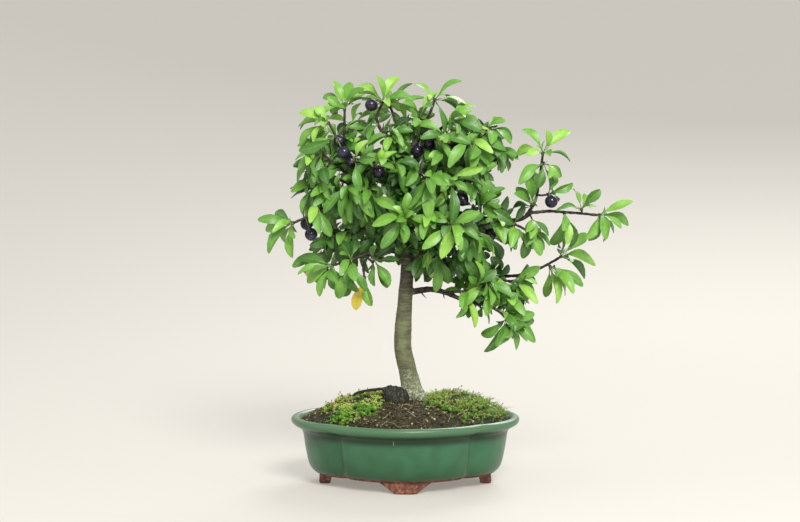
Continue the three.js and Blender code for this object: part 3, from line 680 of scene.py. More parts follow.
@dataclass(frozen=True)
class Bark:
    """Grey olive bark with lichen at the foot, crosswise bands, and darker wood on the limbs.

    The mark `trunk` is 1 on the trunk and 0 on the limbs, and `stub` is 1 on the old root stub.
    """

    olive: Colour = (0.165, 0.175, 0.085)
    olive_dark: Colour = (0.058, 0.06, 0.032)
    lichen: Colour = (0.46, 0.50, 0.36)
    upper: Colour = (0.04, 0.034, 0.023)
    upper_pale: Colour = (0.11, 0.105, 0.07)
    limb: Colour = (0.016, 0.011, 0.009)
    limb_pale: Colour = (0.075, 0.056, 0.042)
    stub: Colour = (0.010, 0.009, 0.006)
    stub_pale: Colour = (0.085, 0.08, 0.045)
    root: Colour = (0.012, 0.009, 0.008)

    def material(self) -> Material:
        """The tree's material."""
        paint = Paint("bark")
        height = paint.height()
        trunk, stub = paint.mark("trunk"), paint.mark("stub")
        bands = paint.noise(7, 4, paint.stretched(0.55, 0.55, 3.2))
        fine = paint.noise(1.1, 3)
        blotches = paint.noise(13, 3)
        mottle = bands * 0.4 + blotches * 0.5 + fine * 0.3
        skin = paint.mix(mottle.step(0.42, 0.74), self.olive_dark, self.olive)
        high = (height + (blotches - 0.5) * 70).step(180, 245)
        dark = paint.mix(bands.step(0.42, 0.68), self.upper, self.upper_pale)
        skin = paint.mix(high, skin, dark)
        low = (height + (blotches - 0.5) * 44).step(132, 96)
        crust = (paint.noise(3.2, 2) * 0.45 + paint.noise(1.7, 2) * 0.6).step(0.5, 0.58)
        skin = paint.mix(low * 0.15, skin, self.lichen)
        skin = paint.mix(crust * (low * 0.95 + 0.03), skin, self.lichen)
        rings = paint.noise(4.5, 3)
        wood = paint.mix((rings * 0.7 + fine * 0.4).step(0.44, 0.72), self.limb, self.limb_pale)
        wood = paint.mix(height.step(112, 106), wood, self.root)
        strands = paint.noise(2.4, 3, paint.stretched(1.3, 1.3, 0.4))
        old = paint.mix((strands * 0.8 + fine * 0.3).step(0.52, 0.72), self.stub, self.stub_pale)
        colour = paint.mix(stub, paint.mix(trunk, wood, skin), old)
        return paint.done(
            Base_Color=colour,
            Roughness=fine * 0.25 + 0.68,
            Normal=paint.bump(bands * 0.35 + fine * 0.5 + strands * stub * 1.5, 0.45),
        )


@dataclass(frozen=True)
class Blade:
    """A leaf's face, with a midrib and side veins by the map `blade` and a tint by the mark `tone`, which
    also carries painted light and shade.

    The map runs 0 to 1 across the leaf and 0 to 1 from stalk to tip. A tone over 1 is a leaf that
    has turned yellow.
    """

    name: str
    tones: Stops
    vein: Colour
    stalk: Colour
    turned: Colour
    gloss: float
    ribs: float = 8.0

    def material(self) -> Material:
        """The material of one face of the leaves."""
        paint = Paint(self.name)
        spot = paint.node("UVMap", {"uv_map": "blade"}).outputs["UV"]
        split = paint.node("SeparateXYZ", {}, {"Vector": spot})
        across = abs(Wire(paint, split.outputs["X"]) - 0.5) * 2
        along = Wire(paint, split.outputs["Y"])
        midrib = across.step(0.16, 0.03)
        swing = ((along * self.ribs - across * 1.5) * (2 * math.pi)).sine()
        ribs = swing.step(0.72, 1.0) * across.step(0.95, 0.6)
        tone = paint.mark("tone")
        patches = paint.noise(6, 3)
        tint = (tone.least(1.0) + (patches - 0.5) * 0.3 - across * 0.07).most(0.0)
        colour = paint.ramp(tint, self.tones)
        yellowing = (tone - 1).most(0.0).least(1.0) * (patches * 0.5 + 0.85)
        colour = paint.mix(yellowing, colour, self.turned)
        colour = paint.mix((midrib * 0.3).most(ribs * 0.1), colour, self.vein)
        colour = paint.mix(along.step(0.2, 0.1) * 0.8, colour, self.stalk)
        surface = 0.5 - midrib * 0.4 - ribs * 0.25 + paint.noise(1.3, 2) * 0.2
        return paint.done(
            Base_Color=colour,
            Roughness=patches * 0.2 + self.gloss,
            Specular_IOR_Level=0.6,
            Normal=paint.bump(surface, 0.35),
        )


@dataclass(frozen=True)
class Bloom:
    """Blue-black sloe skin under a dusty bloom that is rubbed off in patches."""

    skin: Colour = (0.006, 0.006, 0.014)
    flush: Colour = (0.03, 0.012, 0.04)
    dust: Colour = (0.06, 0.075, 0.17)
    stalk: Colour = (0.13, 0.15, 0.05)

    def material(self) -> Material:
        """The sloes' material; the mark `stalk` is 1 on their stalks."""
        paint = Paint("sloe_skin")
        patches = paint.noise(9, 3)
        fine = paint.noise(0.9, 3)
        dust = (patches * 0.8 + fine * 0.3).step(0.52, 0.8)
        skin = paint.mix(paint.noise(6, 2).step(0.4, 0.7), self.skin, self.flush)
        skin = paint.mix(dust * paint.mark("dust"), skin, self.dust)
        return paint.done(
            Base_Color=paint.mix(paint.mark("stalk"), skin, self.stalk),
            Roughness=dust * 0.3 + 0.14,
            Normal=paint.bump(fine, 0.04),
        )


@dataclass(frozen=True)
class Ground:
    """The plain pale floor and backdrop."""

    colour: Colour = (0.43, 0.41, 0.37)
    glow: float = 0.62

    def material(self) -> Material:
        """A matt pale material."""
        paint = Paint("floor")
        tone = paint.noise(400, 2)
        return paint.done(
            Base_Color=paint.mix(tone * 0.1, self.colour, (0.42, 0.4, 0.36)),
            Roughness=0.85,
            Emission_Color=self.colour,
            Emission_Strength=self.glow,
        )


LEAF_TOP = Blade(
    name="leaf_top",
    tones=(
        (0.0, (0.010, 0.044, 0.007)), (0.3, (0.035, 0.125, 0.015)), (0.6, (0.095, 0.26, 0.028)),
        (0.85, (0.185, 0.41, 0.05)), (1.0, (0.31, 0.54, 0.08)),
    ),
    vein=(0.24, 0.42, 0.10),
    stalk=(0.17, 0.27, 0.055),
    turned=(0.72, 0.56, 0.05),
    gloss=0.34,
)
LEAF_BACK = Blade(
    name="leaf_back",
    tones=(
        (0.0, (0.05, 0.13, 0.035)), (0.5, (0.11, 0.25, 0.06)), (1.0, (0.21, 0.39, 0.09)),
    ),
    vein=(0.27, 0.42, 0.17),
    stalk=(0.28, 0.38, 0.13),
    turned=(0.62, 0.5, 0.12),
    gloss=0.5,
)
ROSETTE_GREEN = Growth(
    name="rosette_cover",
    tones=(
        (0.0, (0.13, 0.035, 0.018)), (0.2, (0.30, 0.15, 0.06)), (0.26, (0.10, 0.17, 0.025)),
        (0.55, (0.23, 0.38, 0.045)), (0.8, (0.45, 0.60, 0.10)), (1.0, (0.72, 0.72, 0.34)),
    ),
)
FEATHER_GREEN = Growth(
    name="feather_moss",
    tones=(
        (0.0, (0.17, 0.05, 0.03)), (0.2, (0.36, 0.18, 0.10)), (0.27, (0.055, 0.14, 0.022)),
        (0.45, (0.09, 0.30, 0.028)), (0.66, (0.17, 0.49, 0.035)), (0.85, (0.38, 0.60, 0.08)),
        (0.95, (0.50, 0.62, 0.14)), (1.0, (0.66, 0.58, 0.32)),
    ),
)


# The eye that the tree's places are given from


@dataclass(frozen=True)
class Eye:
    """Where the tree is looked at from, in millimetres from the pot's middle."""

    across: float = -6.0
    distance: float = 2145.0
    height: float = 411.0
    lift: float = 2.2
    down: float = 4.26
    focus: float = 1910.0
    view_width: float = 800.0

    def seen(self, places: list | Array) -> Array:
        """Points that appear at a place across and up, at a depth behind the pot's middle.

        A point at a depth lies 1 + depth / distance times as far from the line of sight. The whole
        tree then stands a little higher in the soil.
        """
        across, up, depth = np.asarray(places, float).reshape(-1, 3).T
        spread = 1 + depth / self.distance
        rise = self.height + (up - self.height) * spread + self.lift
        return np.column_stack([self.across + (across - self.across) * spread, depth, rise])

    def flattened(self, points: Array) -> Array:
        """Where points appear across and up: the inverse of `seen`, without the depth."""
        spread = 1 + points[..., 1:2] / self.distance
        sight = np.array([self.across, self.height])
        return sight + (points[..., [0, 2]] - sight - [0, self.lift]) / spread


EYE = Eye()


# Pot


@dataclass
class Pot:
    """The four-lobed pot with its rolled rim, bracket feet and drain holes."""

    side_centre: float = 50
    side_radius: float = 79.4
    front_beyond: float = 16.5
    front_radius: float = 121.7
    crease: float = 0.6
    groove: float = 2.8
    outside: tuple = (
        (12, 31), (13.5, 27.5), (16, 24.4), (19.5, 21.6), (25, 19.5), (33, 17.7), (42, 16), (51, 14.7),
        (58, 13.7), (62, 11.8), (64.6, 8.2), (66.8, 4), (69.4, 0.9), (73, 0), (75.4, 1.5), (76.5, 5),
    )
    inside: tuple = ((75.8, 8), (73, 10.6), (68, 13), (60, 20), (40, 24), (26, 26), (20, 34))
    foot_reach: tuple = (("front", 76.5), ("side", 97.0))
    foot_height: float = 15.5
    foot_top: float = 70.0
    foot_sole: float = 26.0
    foot_thick: float = 13.0
    drain_across: float = 45.0
    drain_radius: float = 9.0
    around: int = 384

    def reach(self, angle: Array, inset: Array | float) -> Array:
        """The outline's distance from the middle at an angle.

        Each lobe is an arc: c cos(a) + sqrt((r - inset)² - (c sin(a))²), with a from the lobe's own
        way. The front and back arcs are centred beyond the middle, and the nearer of them counts. The
        outline is the greatest of the three, softened at the creases by a log of summed exponents,
        and drawn in there by a groove, groove · exp(-(gap / 2.8)²), that fades out at the rim.
        """

        def arc(centre: float, radius: float, turn: float) -> Array:
            """The distance of one lobe's arc, 0 where it has none."""
            along = centre * np.cos(angle - turn)
            under = (radius - inset) ** 2 - (centre * np.sin(angle - turn)) ** 2
            return np.where(under > 0, along + np.sqrt(np.maximum(under, 0)), 0.0)

        sides = [arc(self.side_centre, self.side_radius, turn) for turn in (0.0, math.pi)]
        broad = [arc(self.front_beyond, self.front_radius, turn) for turn in (math.pi / 2, -math.pi / 2)]
        lobes = np.stack(np.broadcast_arrays(*sides, np.minimum(*broad)))
        most = lobes.max(axis=0)
        gap = most - np.sort(lobes, axis=0)[-2]
        groove = self.groove * np.exp(-((gap / 2.8) ** 2)) * (0.3 + 0.7 * smoothstep(2, 13, inset))
        return most + self.crease * np.log(np.exp((lobes - most) / self.crease).sum(axis=0)) - groove

    def rings(self, profile: Array) -> Array:
        """Rings of the outline: one for each [height, inset] of a profile."""
        angle = circle(self.around)
        reach = self.reach(angle[None], profile[:, 1:2])
        height = np.broadcast_to(profile[:, :1], reach.shape)
        return np.stack([reach * np.cos(angle), reach * np.sin(angle), height], axis=-1)

    def wall(self) -> Shell:
        """The bowl: the rounded profile carried round the outline, closed under and inside."""
        profile = rounded_line(np.array(self.outside + self.inside, float), 2)
        rings = self.rings(profile)
        return ringed(rings, UP * profile[0, 0], UP * profile[-1, 0])

    def foot(self, turn: float, reach: float) -> Shell:
        """A bracket foot under the wall, at an angle round the pot.

        Its width grows from the sole as the 1.25th power of the height. A level section is a
        rounded box, x and y each a power of the cosine and sine, bowed to follow the wall.
        """
        height = np.array([0.0, 0.5, 1.6, 4, 7, 10, 13, self.foot_height])
        round_off = np.array([1.6, 0.5, 0, 0, 0, 0, 0, 0])
        wide = self.foot_sole + (self.foot_top - self.foot_sole) * (height / self.foot_height) ** 1.25
        angle = circle(64)
        corner = 0.32
        half_wide = (wide / 2 - round_off)[:, None]
        half_thick = (self.foot_thick / 2 - round_off)[:, None]
        x = np.sign(np.cos(angle)) * np.abs(np.cos(angle)) ** corner * half_wide
        y = np.sign(np.sin(angle)) * np.abs(np.sin(angle)) ** corner * half_thick
        drop = (1 - height / self.foot_height)[:, None]
        y = y + reach - self.foot_thick / 2 - x**2 / (2.2 * reach) + drop * 0.8
        cosine, sine = math.cos(turn), math.sin(turn)
        level = np.broadcast_to(height[:, None], x.shape)
        rings = np.stack([x * cosine - y * sine, x * sine + y * cosine, level], axis=-1)
        return ringed(rings)

    def build(self) -> None:
        """Adds the pot, with its drain holes cut."""
        bowl = self.wall()
        feet = []
        for side, reach in self.foot_reach:
            start = 0.0 if side == "front" else math.pi / 2
            feet += [self.foot(start, reach), self.foot(start + math.pi, reach)]
        piece = add_piece("green_pot", joined([bowl] + feet), [Glaze().material()], ["pot"])
        drills = []
        for side in (-1, 1):
            path = np.array([[side * self.drain_across, 0, z] for z in (0.0, 15.0, 40.0)])
            drills.append(tube(path, np.full(3, self.drain_radius), 48))
        drill = placed("drill", drawn(joined(drills), "drill"))
        cut = piece.modifiers.new("drain_holes", "BOOLEAN")
        cut.operation = "DIFFERENCE"
        cut.object = drill
        cut.solver = "EXACT"
        cut.use_self = True
        bpy.context.view_layer.objects.active = piece
        bpy.ops.object.modifier_apply(modifier=cut.name)
        bpy.data.objects.remove(drill)


# Soil and what grows on it


@dataclass
class Soil:
    """The mounded soil with its crumbs, grains and dry strands."""

    pot: Pot
    edge_height: float = 72.0
    edge_inset: float = 10.9
    rise: float = 22.0
    floor: float = 22.0
    grain_count: int = 4200
    strand_count: int = 130

    def height(self, x: Array, y: Array) -> Array:
        """The mound's height: it falls with the cube of the share of the way to the edge."""
        share = np.hypot(x, y) / self.pot.reach(np.arctan2(y, x), self.edge_inset + 0.7)
        fall = np.minimum(share, 1) ** 3
        wave = 0.9 * np.sin(x / 9 + 1) * np.cos(y / 11) * (1 - fall)
        return self.edge_height + self.rise * (1 - fall) + wave

    def bed(self) -> Shell:
        """The soil's body: rings from the pot's floor up the wall, then in to the middle, crumbled."""
        wall = np.array([(self.floor, 34.0), (26, 26.7), (60, 20.7), (68, 13.8), (70.5, 12.2)])
        sides = self.pot.rings(wall)
        shares = np.linspace(1, 0.012, 105)[:, None]
        angle = circle(self.pot.around)
        reach = self.pot.reach(angle, self.edge_inset)[None] * shares
        x, y = reach * np.cos(angle), reach * np.sin(angle)
        flat = np.column_stack([x.ravel(), y.ravel(), np.zeros(x.size)])
        crumbs = 1.3 * relief(flat, 7, 3) + 0.75 * np.abs(relief(flat, 2.2, 5, 2))
        z = self.height(x, y) + crumbs.reshape(x.shape) * smoothstep(1.0, 0.9, shares) - 0.6
        rings = np.concatenate([sides, np.stack([x, y, z], axis=-1)])
        return ringed(rings, UP * self.floor, UP * z[-1].mean()).marked(tone=0.0)

    def scattered(self, count: int, rng: Random) -> Array:
        """Random places on the soil, even over its area."""
        angle = rng.uniform(0, 2 * np.pi, count)
        reach = self.pot.reach(angle, self.edge_inset + 2) * np.sqrt(rng.uniform(0, 1, count))
        x, y = reach * np.cos(angle), reach * np.sin(angle)
        return np.column_stack([x, y, self.height(x, y)])

    def grains(self, rng: Random) -> Shell:
        """Loose grains: small knobbly balls of eight corners, each its own size and tone."""
        corners = np.array([
            (0, 0, -1), (1, 0, -0.25), (0.2, 1, 0.1), (-1, 0.3, -0.1),
            (-0.3, -1, 0.15), (0.7, 0.5, 0.7), (-0.5, 0.4, 0.8), (0.2, -0.5, 0.85),
        ])
        faces = np.array([
            (0, 2, 1), (0, 3, 2), (0, 4, 3), (0, 1, 4), (1, 2, 5), (2, 3, 6),
            (2, 6, 5), (3, 4, 6), (4, 7, 6), (1, 7, 4), (1, 5, 7), (5, 6, 7),
        ])
        size = 0.5 + 1.5 * rng.uniform(0, 1, self.grain_count) ** 3
        turn = rng.uniform(0, 2 * np.pi, self.grain_count)
        stretch = rng.uniform(0.7, 1.3, (self.grain_count, 1, 3))
        x, y, z = np.moveaxis(corners[None] * stretch * size[:, None, None], -1, 0)
        cosine, sine = np.cos(turn)[:, None], np.sin(turn)[:, None]
        turned = np.stack([x * cosine - y * sine, x * sine + y * cosine, z], -1)
        points = self.scattered(self.grain_count, rng)[:, None] + turned + UP * (size * 0.2)[:, None, None]
        tone = np.clip(rng.beta(1.2, 1.9, self.grain_count), 0.02, 1)
        return repeated(points, np.zeros((0, 4), int), faces).marked(tone=np.repeat(tone, len(corners)))

    def strands(self, rng: Random) -> Shell:
        """Dry strands of moss and root: thin arcs that lie on the soil."""
        shells = []
        for start in self.scattered(self.strand_count, rng):
            way = rng.uniform(0, 2 * np.pi)
            length, bend = rng.uniform(6, 16), rng.uniform(-1.5, 1.5)
            share = evenly(7)
            x = start[0] + length * share * np.cos(way + bend * share)
            y = start[1] + length * share * np.sin(way + bend * share)
            inside = np.hypot(x, y) < self.pot.reach(np.arctan2(y, x), self.edge_inset + 3)
            if not inside.all():
                continue
            z = self.height(x, y) + 1.2 + rng.uniform(0.3, 2.4) * np.sin(np.pi * share)
            strand = tube(np.column_stack([x, y, z]), np.full(7, rng.uniform(0.15, 0.3)), 4)
            shells.append(strand.marked(tone=rng.uniform(0.5, 0.97)))
        return joined(shells)

    def build(self) -> None:
        """Adds the soil."""
        rng = np.random.default_rng(11)
        shell = joined([self.bed(), self.grains(rng), self.strands(rng)])
        add_piece("soil_bed", shell, [Earth().material()], ["soil"])


class Cover(Enum):
    """The two kinds of ground cover."""

    ROSETTES = "moss_left"
    FEATHERS = "moss_right"


@dataclass
class Cushion:
    """An oval cushion of small plants on the soil."""

    soil: Soil
    kind: Cover
    centre: Pair
    half: Pair
    height: float
    lump: float
    seed: int
    feather_at: Pair = (-58, -52)
    feather_half: Pair = (25, 13)
    tufts: tuple = ((-51, 12), (-38, 14), (-29, 8))
    bare: float = -0.32

    def top(self, x: Array, y: Array) -> Array:
        """The cushion's height: a dome on the soil, sqrt(1 - share²), with lumps."""
        share = np.hypot((x - self.centre[0]) / self.half[0], (y - self.centre[1]) / self.half[1])
        bump = self.lump * np.sin(x / 4.6) * np.cos(y / 5.3 + 1)
        dome = np.sqrt(np.maximum(1 - share**2, 0))
        return self.soil.height(x, y) - 0.5 + (self.height * 0.7 + bump * 0.7) * dome

    def mound(self) -> Shell:
        """The matted body under the plants."""
        angle = circle(96)
        wobble = 1 + 0.05 * np.sin(3 * angle + self.centre[0]) + 0.03 * np.sin(7 * angle + self.seed)
        shares = np.concatenate([[0.9], np.linspace(0.96, 0.03, 34)])[:, None]
        x = self.centre[0] + self.half[0] * shares * wobble * np.cos(angle)
        y = self.centre[1] + self.half[1] * shares * wobble * np.sin(angle)
        z = self.top(x, y)
        flat = np.column_stack([x.ravel(), y.ravel(), np.zeros(x.size)])
        z = z + (1.3 * relief(flat, 4.2, self.seed)).reshape(x.shape) - 0.8
        z[0] = self.soil.height(x[0], y[0]) - 4
        rings = np.stack([x, y, z], axis=-1)
        under = np.array([*self.centre, self.soil.height(*map(np.array, self.centre)) - 4])
        shell = ringed(rings, under)
        # The mound is painted wholly in the shade colour, which serves both as painted shade in the gaps and
        # as the dark mat's own colour.
        return shell.marked(tone=0.1, deep=1.0)

    def oval(self, count: int, centre: Pair, half: Pair, rng: Random) -> Array:
        """Random places in an oval, on the cushion's top and inside the pot's edge."""
        angle = rng.uniform(0, 2 * np.pi, count)
        share = np.sqrt(rng.uniform(0, 1, count))
        x = centre[0] + half[0] * share * np.cos(angle)
        y = centre[1] + half[1] * share * np.sin(angle)
        inside = np.hypot(x, y) < self.soil.pot.reach(np.arctan2(y, x), self.soil.edge_inset) - 3
        return np.column_stack([x, y, self.top(x, y)])[inside]

    def scattered(self, count: int, rng: Random, reach: float = 1.0) -> Array:
        """Random places on the cushion, but for some bare patches."""
        places = self.oval(count, self.centre, (self.half[0] * reach, self.half[1] * reach), rng)
        return places[relief(places * [1, 1, 0], 7.5, self.seed + 11, 2) > self.bare]

    def outward(self, places: Array) -> Array:
        """The way that plants grow at these places: up, and leaning out towards the edge."""
        lean = (places[:, :2] - self.centre) / self.half
        return unit(np.column_stack([lean * 0.8, np.ones(len(places))]))

    def patches(self, places: Array) -> Array:
        """How bright the plants are at these places, about 0, in soft patches."""
        return relief(places * [1, 1, 0], 15, self.seed + 3, 2)

    def rosettes(self, places: Array, petals: int, sizes: Pair, tone: float, rng: Random) -> Shell:
        """Whorls of small leaves, each whorl a cup that opens along its own axis."""
        count = len(places)
        axis = unit(self.outward(places) + rng.normal(0, 0.25, (count, 3)))
        side = unit(np.cross(axis, UP + rng.normal(0, 0.3, (count, 3))))
        other = np.cross(axis, side)
        size = rng.uniform(*sizes, count)
        angle = np.arange(petals) * 2.4 + rng.uniform(0, 2 * np.pi, (count, 1))
        opened = np.linspace(0.3, 1.35, petals)[None] + rng.normal(0, 0.12, (count, petals))
        spoke = np.cos(angle)[..., None] * side[:, None] + np.sin(angle)[..., None] * other[:, None]
        ways = unit(np.cos(opened)[..., None] * axis[:, None] + np.sin(opened)[..., None] * spoke)
        normals = unit(axis[:, None] - spoke * 0.4)
        lengths = size[:, None] * rng.uniform(0.75, 1.15, (count, petals))
        bases = np.repeat((places + axis * rng.uniform(-0.3, 1.8, (count, 1)))[:, None], petals, axis=1)
        widths = lengths * rng.uniform(0.42, 0.6)
        rows = (a.reshape(-1, 3) for a in (bases, ways, normals))
        shell = slivers(*rows, lengths.ravel(), widths.ravel())
        bright = rng.normal(tone, 0.1, (count, 1)) + 0.16 * self.patches(places)[:, None]
        bright = np.clip(bright + rng.normal(0, 0.05, (count, petals)), 0.26, 1)
        red = rng.uniform(0, 1, (count, 1)) < 0.1
        own = np.where(red, rng.uniform(0, 0.2, (count, petals)), bright)
        # Painted shade: each petal is darkest at its base.
        deep = np.array([0.7, 0.1, 0.1, 0.1, 0.1, 0.0])
        return shell.marked(tone=on_slivers(own), deep=np.tile(deep, count * petals))

    def fronds(self, places: Array, height: Pair, tone: float, rng: Random) -> Shell:
        """Feathery shoots: a bent stalk with leaflets all along it.

        A point at share s of a shoot is base + height · (axis · s + bend · s²).
        """
        count, joints, leaflets = len(places), 3, 15
        axis = unit(self.outward(places) + rng.normal(0, 0.42, (count, 3)) * [1, 1, 0.4])
        bend = rng.normal(0, 0.45, (count, 3)) * [1, 1, 0.2] - UP * 0.12
        tall = rng.uniform(*height, count)

        def along(share: Array) -> Array:
            """Points on every shoot at these shares, shaped (shoots, shares, 3)."""
            step = axis[:, None] * share[:, None] + bend[:, None] * (share**2)[:, None]
            return places[:, None] + tall[:, None, None] * step

        knots = along(np.linspace(-0.15, 1, joints + 1))
        spans = knots[:, 1:] - knots[:, :-1]
        stalk_way = unit(spans).reshape(-1, 3)
        lengths = lengths_of(spans).ravel() * 1.3
        faces = unit(np.cross(stalk_way, [0.3, 1, 0.2]))
        starts = knots[:, :-1].reshape(-1, 3)
        stalks = slivers(starts, stalk_way, faces, lengths, np.full(len(lengths), 0.5))
        share = np.linspace(0.15, 1.0, leaflets)
        turn = np.arange(leaflets) * 2.4 + rng.uniform(0, 6.3, (count, 1))
        side = unit(np.cross(axis, [0.2, 0.4, 1.0]))
        other = np.cross(axis, side)
        spoke = np.cos(turn)[..., None] * side[:, None] + np.sin(turn)[..., None] * other[:, None]
        ways = unit(spoke + axis[:, None] * (0.4 + 0.7 * share)[None, :, None] + bend[:, None] * 0.8)
        size = rng.uniform(1.7, 3.1, (count, 1)) * (1.15 - 0.5 * share)
        normals = unit(axis[:, None] + 0 * ways).reshape(-1, 3)
        bases, lengths = along(share).reshape(-1, 3), size.ravel()
        leaves = slivers(bases, ways.reshape(-1, 3), normals, lengths, lengths * 0.38)
        own = rng.normal(tone, 0.09, (count, 1)) + 0.14 * self.patches(places)[:, None]
        own = own + 0.2 * (share - 0.5)
        brown = rng.uniform(0, 1, (count, 1)) < 0.08
        own = np.where(brown, rng.uniform(0.02, 0.2, (count, leaflets)), np.clip(own, 0.26, 0.96))
        shadow = np.clip(0.95 - share * 1.25, 0, 1)
        leaves.marked(tone=on_slivers(own), deep=on_slivers(np.tile(shadow, count)))
        # The stalks get a little painted shade; the leaflets get painted shade towards each shoot's base.
        return joined([stalks.marked(tone=tone - 0.2, deep=0.3), leaves])

    def capsules(self, count: int, tall: Pair, rng: Random) -> Shell:
        """Thin reddish stalks with a nodding capsule at the end."""
        shells = []
        for base in self.scattered(count, rng, 0.95):
            lean = rng.normal(0, 0.4, 2)
            share = evenly(6)[:, None]
            rise = np.array([*lean, 1]) * share + np.array([*lean, -0.2]) * 0.6 * share**2
            path = base + rng.uniform(*tall) * rise
            shells.append(tube(path, np.full(6, 0.2), 4).marked(tone=rng.uniform(0.02, 0.14), deep=0.0))
            head = ball(path[-1], (0.6, 0.6, 1.0), 4, 6)
            shells.append(head.marked(tone=rng.uniform(0.0, 0.12), deep=0.0))
        return joined(shells)

    def straws(self, count: int, rng: Random) -> Shell:
        """Dry pale stalks lying among the plants."""
        shells = []
        share = evenly(6)[:, None]
        for base in self.scattered(count, rng, 0.95):
            way = unit(np.array([*rng.normal(0, 1, 2), 0.25 * rng.uniform(0, 1)]))
            path = base + UP * 2.5 + way * rng.uniform(4, 11) * (share - 0.5)
            path = path + UP * 1.6 * np.sin(np.pi * share)
            shells.append(tube(path, np.full(6, rng.uniform(0.14, 0.26)), 4).marked(tone=1.0, deep=0.0))
        return joined(shells)

    def tuft(self, x: float, y: float, rng: Random) -> Shell:
        """A tight round tuft: short leaves that stand out all over a dome."""
        count = 260
        middle = np.array([x, y, self.top(np.array(x), np.array(y)) + 2.2])
        ways = unit(rng.normal(0, 1, (count, 3)) * [1, 1, 0.8] + UP * 0.5)
        bases = middle + ways * 4.2
        lengths = rng.uniform(1.6, 2.6, count)
        normals = unit(np.cross(ways, rng.normal(0, 1, (count, 3))))
        ways = unit(ways + rng.normal(0, 0.3, ways.shape))
        shell = slivers(bases, ways, normals, lengths, lengths * 0.45)
        # The tuft's inner dome is painted half in shade.
        body = ball(middle, (4.6, 4.6, 4.4), 7, 12).marked(tone=0.6, deep=0.5)
        return joined([body, shell.marked(tone=on_slivers(rng.uniform(0.7, 0.92, count)), deep=0.0)])

    def left_plants(self, rng: Random) -> list[Shell]:
        """Rosettes with two tight tufts, a feathery patch in front and sprouts beyond the edge."""
        feathers = self.oval(250, self.feather_at, self.feather_half, rng)
        places = self.scattered(640, rng)
        apart = np.hypot(*((places[:, :2] - self.feather_at) / self.feather_half).T) > 0.9
        return [
            self.rosettes(places[apart], 10, (2.0, 4.4), 0.72, rng).finished(0),
            self.rosettes(self.scattered(190, rng, 1.3), 7, (1.4, 2.6), 0.64, rng).finished(0),
            self.fronds(feathers, (2.5, 5.5), 0.64, rng).finished(1),
            *(self.tuft(x, y, rng).finished(0) for x, y in self.tufts),
            self.capsules(34, (5, 10), rng).finished(0),
            self.straws(30, rng).finished(0),
        ]

    def right_plants(self, rng: Random) -> list[Shell]:
        """A mat of feathery shoots with dry stalks and capsules, thin at its edge."""
        return [
            self.fronds(self.scattered(900, rng), (4.5, 10), 0.72, rng).finished(1),
            self.fronds(self.scattered(200, rng, 1.3), (3, 6), 0.66, rng).finished(1),
            self.capsules(80, (6, 11), rng).finished(1),
            self.straws(110, rng).finished(1),
        ]

    def build(self) -> None:
        """Adds the cushion with its plants."""
        rng = np.random.default_rng(self.seed)
        plants = self.left_plants(rng) if self.kind is Cover.ROSETTES else self.right_plants(rng)
        name = f"{self.kind.name.lower()}_cover"
        finishes = [ROSETTE_GREEN.material(), FEATHER_GREEN.material()]
        add_piece(name, joined([self.mound()] + plants), finishes, [self.kind.value])


# Tree


TRUNK = (
    [
        [12, 40, 6], [11, 66, 5], [10, 88, 5], [8, 98, 4], [5, 114, 3], [2, 128, 2], [-2, 145, 0],
        [-3, 161, 0], [-2, 184, 0], [0, 207, 0], [2, 236, 0], [2, 261, 0], [-4, 289, 2], [-8, 317, 4],
        [-8, 340, 4], [-2, 360, 4], [8, 377, 2], [17, 396, 0],
    ],
    [9, 14.5, 15.5, 12.6, 11, 9.9, 9.8, 9.6, 8.9, 8.2, 7.5, 6.9, 6.2, 5.2, 4.4, 3.8, 3.2, 2.6],
)
LIMBS = {
    "left_riser": ([[-4, 286, 2], [-17, 306, -2], [-34, 322, -6], [-54, 332, -10], [-60, 349, -12],
        [-65, 368, -12]], 5, 2.6),
    "left_far": ([[-48, 329, -9], [-68, 321, -20], [-86, 313, -28]], 2.8, 2.2),
    "left_mid": ([[-3, 277, 2], [-20, 282, 8], [-43, 286, 12], [-68, 283, 10]], 3, 1.9),
    "left_low": ([[1, 256, 0], [-17, 261, -10], [-34, 260, -18], [-49, 255, -24]], 3, 1.9),
    "right_low": ([[2, 213, 0], [12, 215, -2], [30, 217, -12], [46, 213, -20], [60, 207, -26],
        [75, 203, -30]], 3.6, 1.9),
    "right_long": ([[-8, 314, 4], [11, 311, -6], [39, 308, -14], [74, 299, -22], [107, 295, -28],
        [129, 296, -30], [144, 305, -32]], 4, 2),
    "right_mid": ([[-1, 272, 0], [22, 261, 14], [50, 247, 22], [78, 236, 20], [107, 231, 12]], 3.2, 1.9),
    "right_high": ([[-7, 348, 4], [14, 359, -8], [39, 374, -16], [62, 387, -18]], 3, 2.2),
    "front_right": ([[-3, 281, 0], [12, 288, -20], [25, 292, -38]], 2.6, 1.8),
    "front_middle": ([[-3, 288, -2], [-2, 294, -24]], 2.4, 1.8),
    "front_left": ([[-7, 340, 0], [-17, 351, -20], [-29, 360, -36]], 2.6, 1.8),
    "front_high": ([[-7, 349, 0], [7, 349, -22], [21, 347, -40]], 2.6, 1.8),
    "top_left": ([[1, 362, 4], [-13, 382, -6], [-27, 396, -10]], 2.8, 1.8),
    "back_right": ([[-8, 322, 6], [8, 333, 32], [25, 342, 56]], 3, 1.9),
    "back_left": ([[-8, 333, 6], [-25, 347, 32], [-45, 359, 56]], 3, 1.9),
    "back_right_low": ([[2, 261, 4], [8, 271, 32], [22, 280, 58]], 3, 1.9),
    "back_left_low": ([[-3, 279, 6], [-16, 287, 30], [-33, 292, 55]], 3, 1.9),
    "back_top": ([[-1, 365, 6], [-2, 383, 28], [-8, 401, 46]], 2.8, 1.8),
}
SURFACE_ROOT = ([[-12, 100, -4], [-24, 103.6, -6], [-36, 103, -6], [-48, 101, -6], [-58, 97, -5],
    [-64, 84, -4]], 1.8, 1.4)


